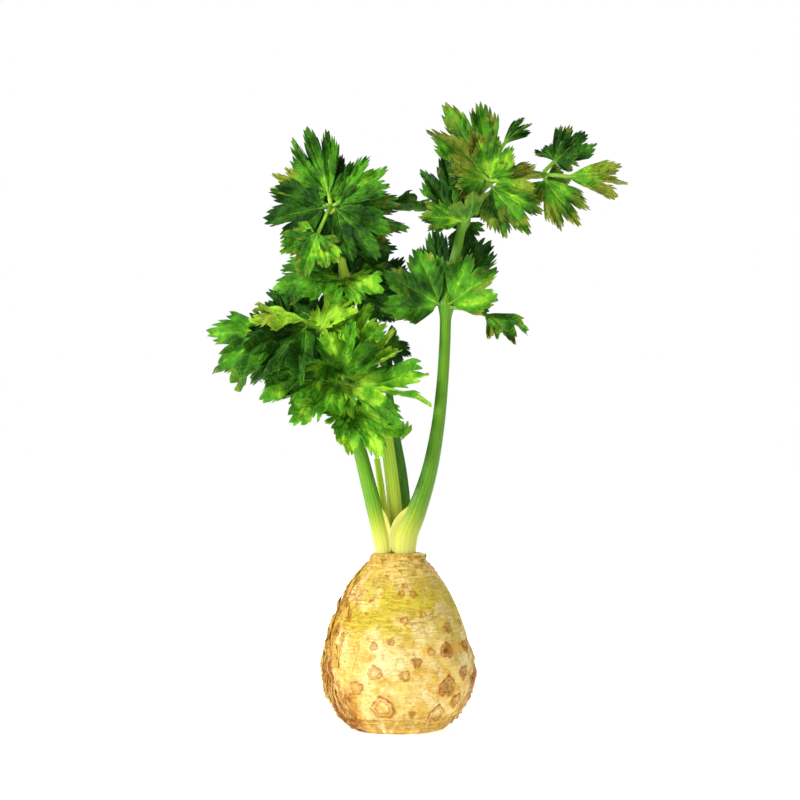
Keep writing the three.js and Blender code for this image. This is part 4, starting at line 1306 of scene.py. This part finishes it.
def root_material():
    n = Nodes("root_skin")
    skin, up = n.attribute("skin", "Vector"), n.attribute("up")
    ring, pit, tan = n.attribute("ring"), n.attribute("pit"), n.attribute("tan")
    worn, fold = n.attribute("worn"), n.attribute("fold")
    broad = n.noise(skin, 0.045, 4.0, 0.6)
    mottle = n.noise(skin, 0.16, 5.0, 0.65)
    patch = n.noise(skin, 0.09, 4.0, 0.6, distortion=0.8)
    fine = n.noise(skin, 0.9, 4.0, 0.6)
    grit = n.noise(skin, 2.4, 3.0, 0.6)
    # Thin wavy lines run round the shoulders and the foot, where the skin is wrinkled.
    wave = n.noise(skin, 1.0, 4.0, 0.55, stretch=(0.05, 0.05, 0.42))
    line = n.remap(n.apart(wave, 0.5), 0.0, 0.03, 1.0, 0.0)
    wave = n.noise(skin, 1.0, 3.0, 0.6, stretch=(0.09, 0.09, 0.8))
    hair = n.remap(n.apart(wave, 0.47), 0.0, 0.022, 1.0, 0.0)
    line = n.math("MAXIMUM", line, n.times(hair, 0.8))
    line = n.times(line, n.remap(mottle, 0.32, 0.55))
    band = n.times(n.remap(up, 58, 82), n.remap(up, 128, 100))
    ends = n.math("MAXIMUM", n.remap(up, 58, 86), n.remap(up, 22, 10))
    speck = n.remap(n.noise(skin, 0.42, 3.0, 0.5), 0.64, 0.7)
    dash = n.remap(n.noise(skin, 1.0, 2.0, 0.5, stretch=(0.3, 0.3, 1.1)), 0.67, 0.72)
    color = n.mix(n.remap(broad, 0.36, 0.62), ROOT_WHITE, ROOT_CREAM)
    # Each layer's place, how strongly it shows there, and its colour
    layers = [
        (n.remap(patch, 0.46, 0.66), 0.9, ROOT_YELLOW),
        (band, n.remap(broad, 0.36, 0.58, 0.25, 1.0), ROOT_GREENISH),
        (n.remap(up, 96, 124), n.remap(mottle, 0.3, 0.6, 0.3, 0.95), ROOT_GOLD),
        (n.remap(up, 22, 5), n.remap(mottle, 0.3, 0.6, 0.1, 0.8), ROOT_GOLD),
        (n.remap(mottle, 0.53, 0.72), 0.75, ROOT_TAN),
        (line, n.scaled(ends, 0.55, 0.08), ROOT_LINE),
        (fold, n.remap(mottle, 0.3, 0.6, 0.35, 0.9), ROOT_LINE),
        (tan, n.remap(mottle, 0.36, 0.6, 0.15, 0.9), ROOT_TAN),
        (ring, n.remap(fine, 0.25, 0.45, 0.85, 1.3), ROOT_RING),
        (n.remap(worn, 0.05, 0.6), n.remap(mottle, 0.4, 0.6, 0.25, 1.0), ROOT_RING),
        (n.remap(worn, 0.3, 0.9), n.remap(patch, 0.4, 0.6, 0.2, 0.9), ROOT_RUST),
        (n.times(worn, line), 0.7, ROOT_PIT),
        (speck, 0.45, ROOT_RING),
        (dash, 0.75, ROOT_RING),
        (pit, n.remap(fine, 0.3, 0.6, 0.65, 1.0), ROOT_PIT),
        (n.remap(grit, 0.35, 0.7), 0.1, ROOT_LINE),
    ]
    for where, strength, layer_color in layers:
        color = n.mix(n.times(where, strength, clamp=True), color, layer_color)
    height = n.scaled(line, -0.7, n.times(fine, 0.9))
    height = n.plus(height, n.times(mottle, 1.2))
    height = n.plus(height, n.times(n.plus(worn, 0.25), grit))
    shader = n.skin(
        color,
        n.scaled(fine, 0.35, 0.4),
        Normal=n.bump(height, 0.7, 0.0008),
        Specular_IOR_Level=0.2,
        Subsurface_Weight=0.06,
        Subsurface_Radius=(0.003, 0.002, 0.001),
    )
    return n.finish(shader)


def dry_material():
    n = Nodes("dry_fibre")
    tint = n.attribute("tint")
    texture = n.add("TexCoord").outputs["Object"]
    grain = n.noise(texture, 900.0, 4.0, 0.6)
    color = n.ramp(tint, (0.0, FIBRE_PALE), (0.6, FIBRE_TAN), (1.0, FIBRE_BROWN))
    color = n.mix(n.times(n.remap(grain, 0.4, 0.7), 0.5), color, FIBRE_TAN)
    roughness = n.scaled(grain, 0.3, 0.5)
    return n.finish(n.skin(color, roughness, Normal=n.bump(grain, 0.4, 0.0003), Specular_IOR_Level=0.2))


def floor_material():
    n = Nodes("pale_floor")
    place = n.add("TexCoord").outputs["Object"]
    grain = n.noise(place, 60.0, 3.0)
    color = n.mix(grain, FLOOR_PALE, FLOOR_PALER)
    roughness = n.scaled(grain, 0.1, 0.7)
    return n.finish(n.skin(color, roughness, Emission_Color=(1, 1, 1), Emission_Strength=FLOOR_GLOW))


# ---------------------------------------------------------------- stage


def aim(thing, place, target):
    thing.location = place
    thing.rotation_mode = "QUATERNION"
    thing.rotation_quaternion = (Vector(target) - Vector(place)).to_track_quat("-Z", "Y")


def camera():
    data = bpy.data.cameras.new("camera")
    data.sensor_width = 36
    data.lens = data.sensor_width * CAMERA_DISTANCE / VIEW_WIDTH
    data.clip_start, data.clip_end = 0.05, 30
    thing = bpy.data.objects.new("camera", data)
    bpy.context.scene.collection.objects.link(thing)
    aim(thing, (CAMERA_RIGHT, -CAMERA_DISTANCE, CAMERA_HEIGHT), (CAMERA_RIGHT, 0, CAMERA_HEIGHT))
    bpy.context.scene.camera = thing


def area_light(name, place, size, power):
    data = bpy.data.lights.new(name, "AREA")
    data.shape = "SQUARE"
    data.size, data.energy = size, power
    thing = bpy.data.objects.new(name, data)
    bpy.context.scene.collection.objects.link(thing)
    aim(thing, place, LIGHT_TARGET)


def studio():
    world = bpy.data.worlds.new("studio")
    bpy.context.scene.world = world
    world.use_nodes = True
    tree = world.node_tree
    background = tree.nodes["Background"]
    background.inputs["Color"].default_value = (1, 1, 1, 1)
    # The backdrop is seen pure white, and lights the object less than it is seen.
    seen = tree.nodes.new("ShaderNodeLightPath").outputs["Is Camera Ray"]
    strength = tree.nodes.new("ShaderNodeMapRange")
    strength.inputs["To Min"].default_value = WORLD_LIGHT
    strength.inputs["To Max"].default_value = SEEN_BACKDROP
    tree.links.new(seen, strength.inputs["Value"])
    tree.links.new(strength.outputs["Result"], background.inputs["Strength"])
    for name, lamp in LAMPS.items():
        area_light(name, *lamp)
    view = bpy.context.scene.view_settings
    view.view_transform, view.look = "Standard", "None"
    view.exposure, view.gamma = 0, 1
    bpy.ops.mesh.primitive_plane_add(size=FLOOR_SIZE, location=(0, 0, 0))
    floor = bpy.context.object
    floor.name = "floor"
    floor.data.materials.append(floor_material())


# ---------------------------------------------------------------- build

camera()
studio()

root_look = root_material()
stalk_look = stalk_material()
leaf_look = leaf_material()
dry_look = dry_material()

finish_piece(root(), root_look, "root_skin", "root")
finish_piece(root_hairs(), dry_look, "root_skin")
finish_piece(crown_scales(), dry_look, "root_skin")
for stalk_name in STALKS:
    finish_piece(stalk(stalk_name), stalk_look, "stalk_skin", f"{stalk_name}_stalk")
sheaths = join_parts([sheath(name) for name in ("right", "left")])
finish_piece(make_mesh("sheaths", *sheaths), stalk_look, "stalk_skin")
for number, (leaf_name, leaf_row) in enumerate(LEAFLETS.items()):
    finish_piece(leaflet(leaf_name, leaf_row, number), leaf_look, "leaf_blade", leaf_name)
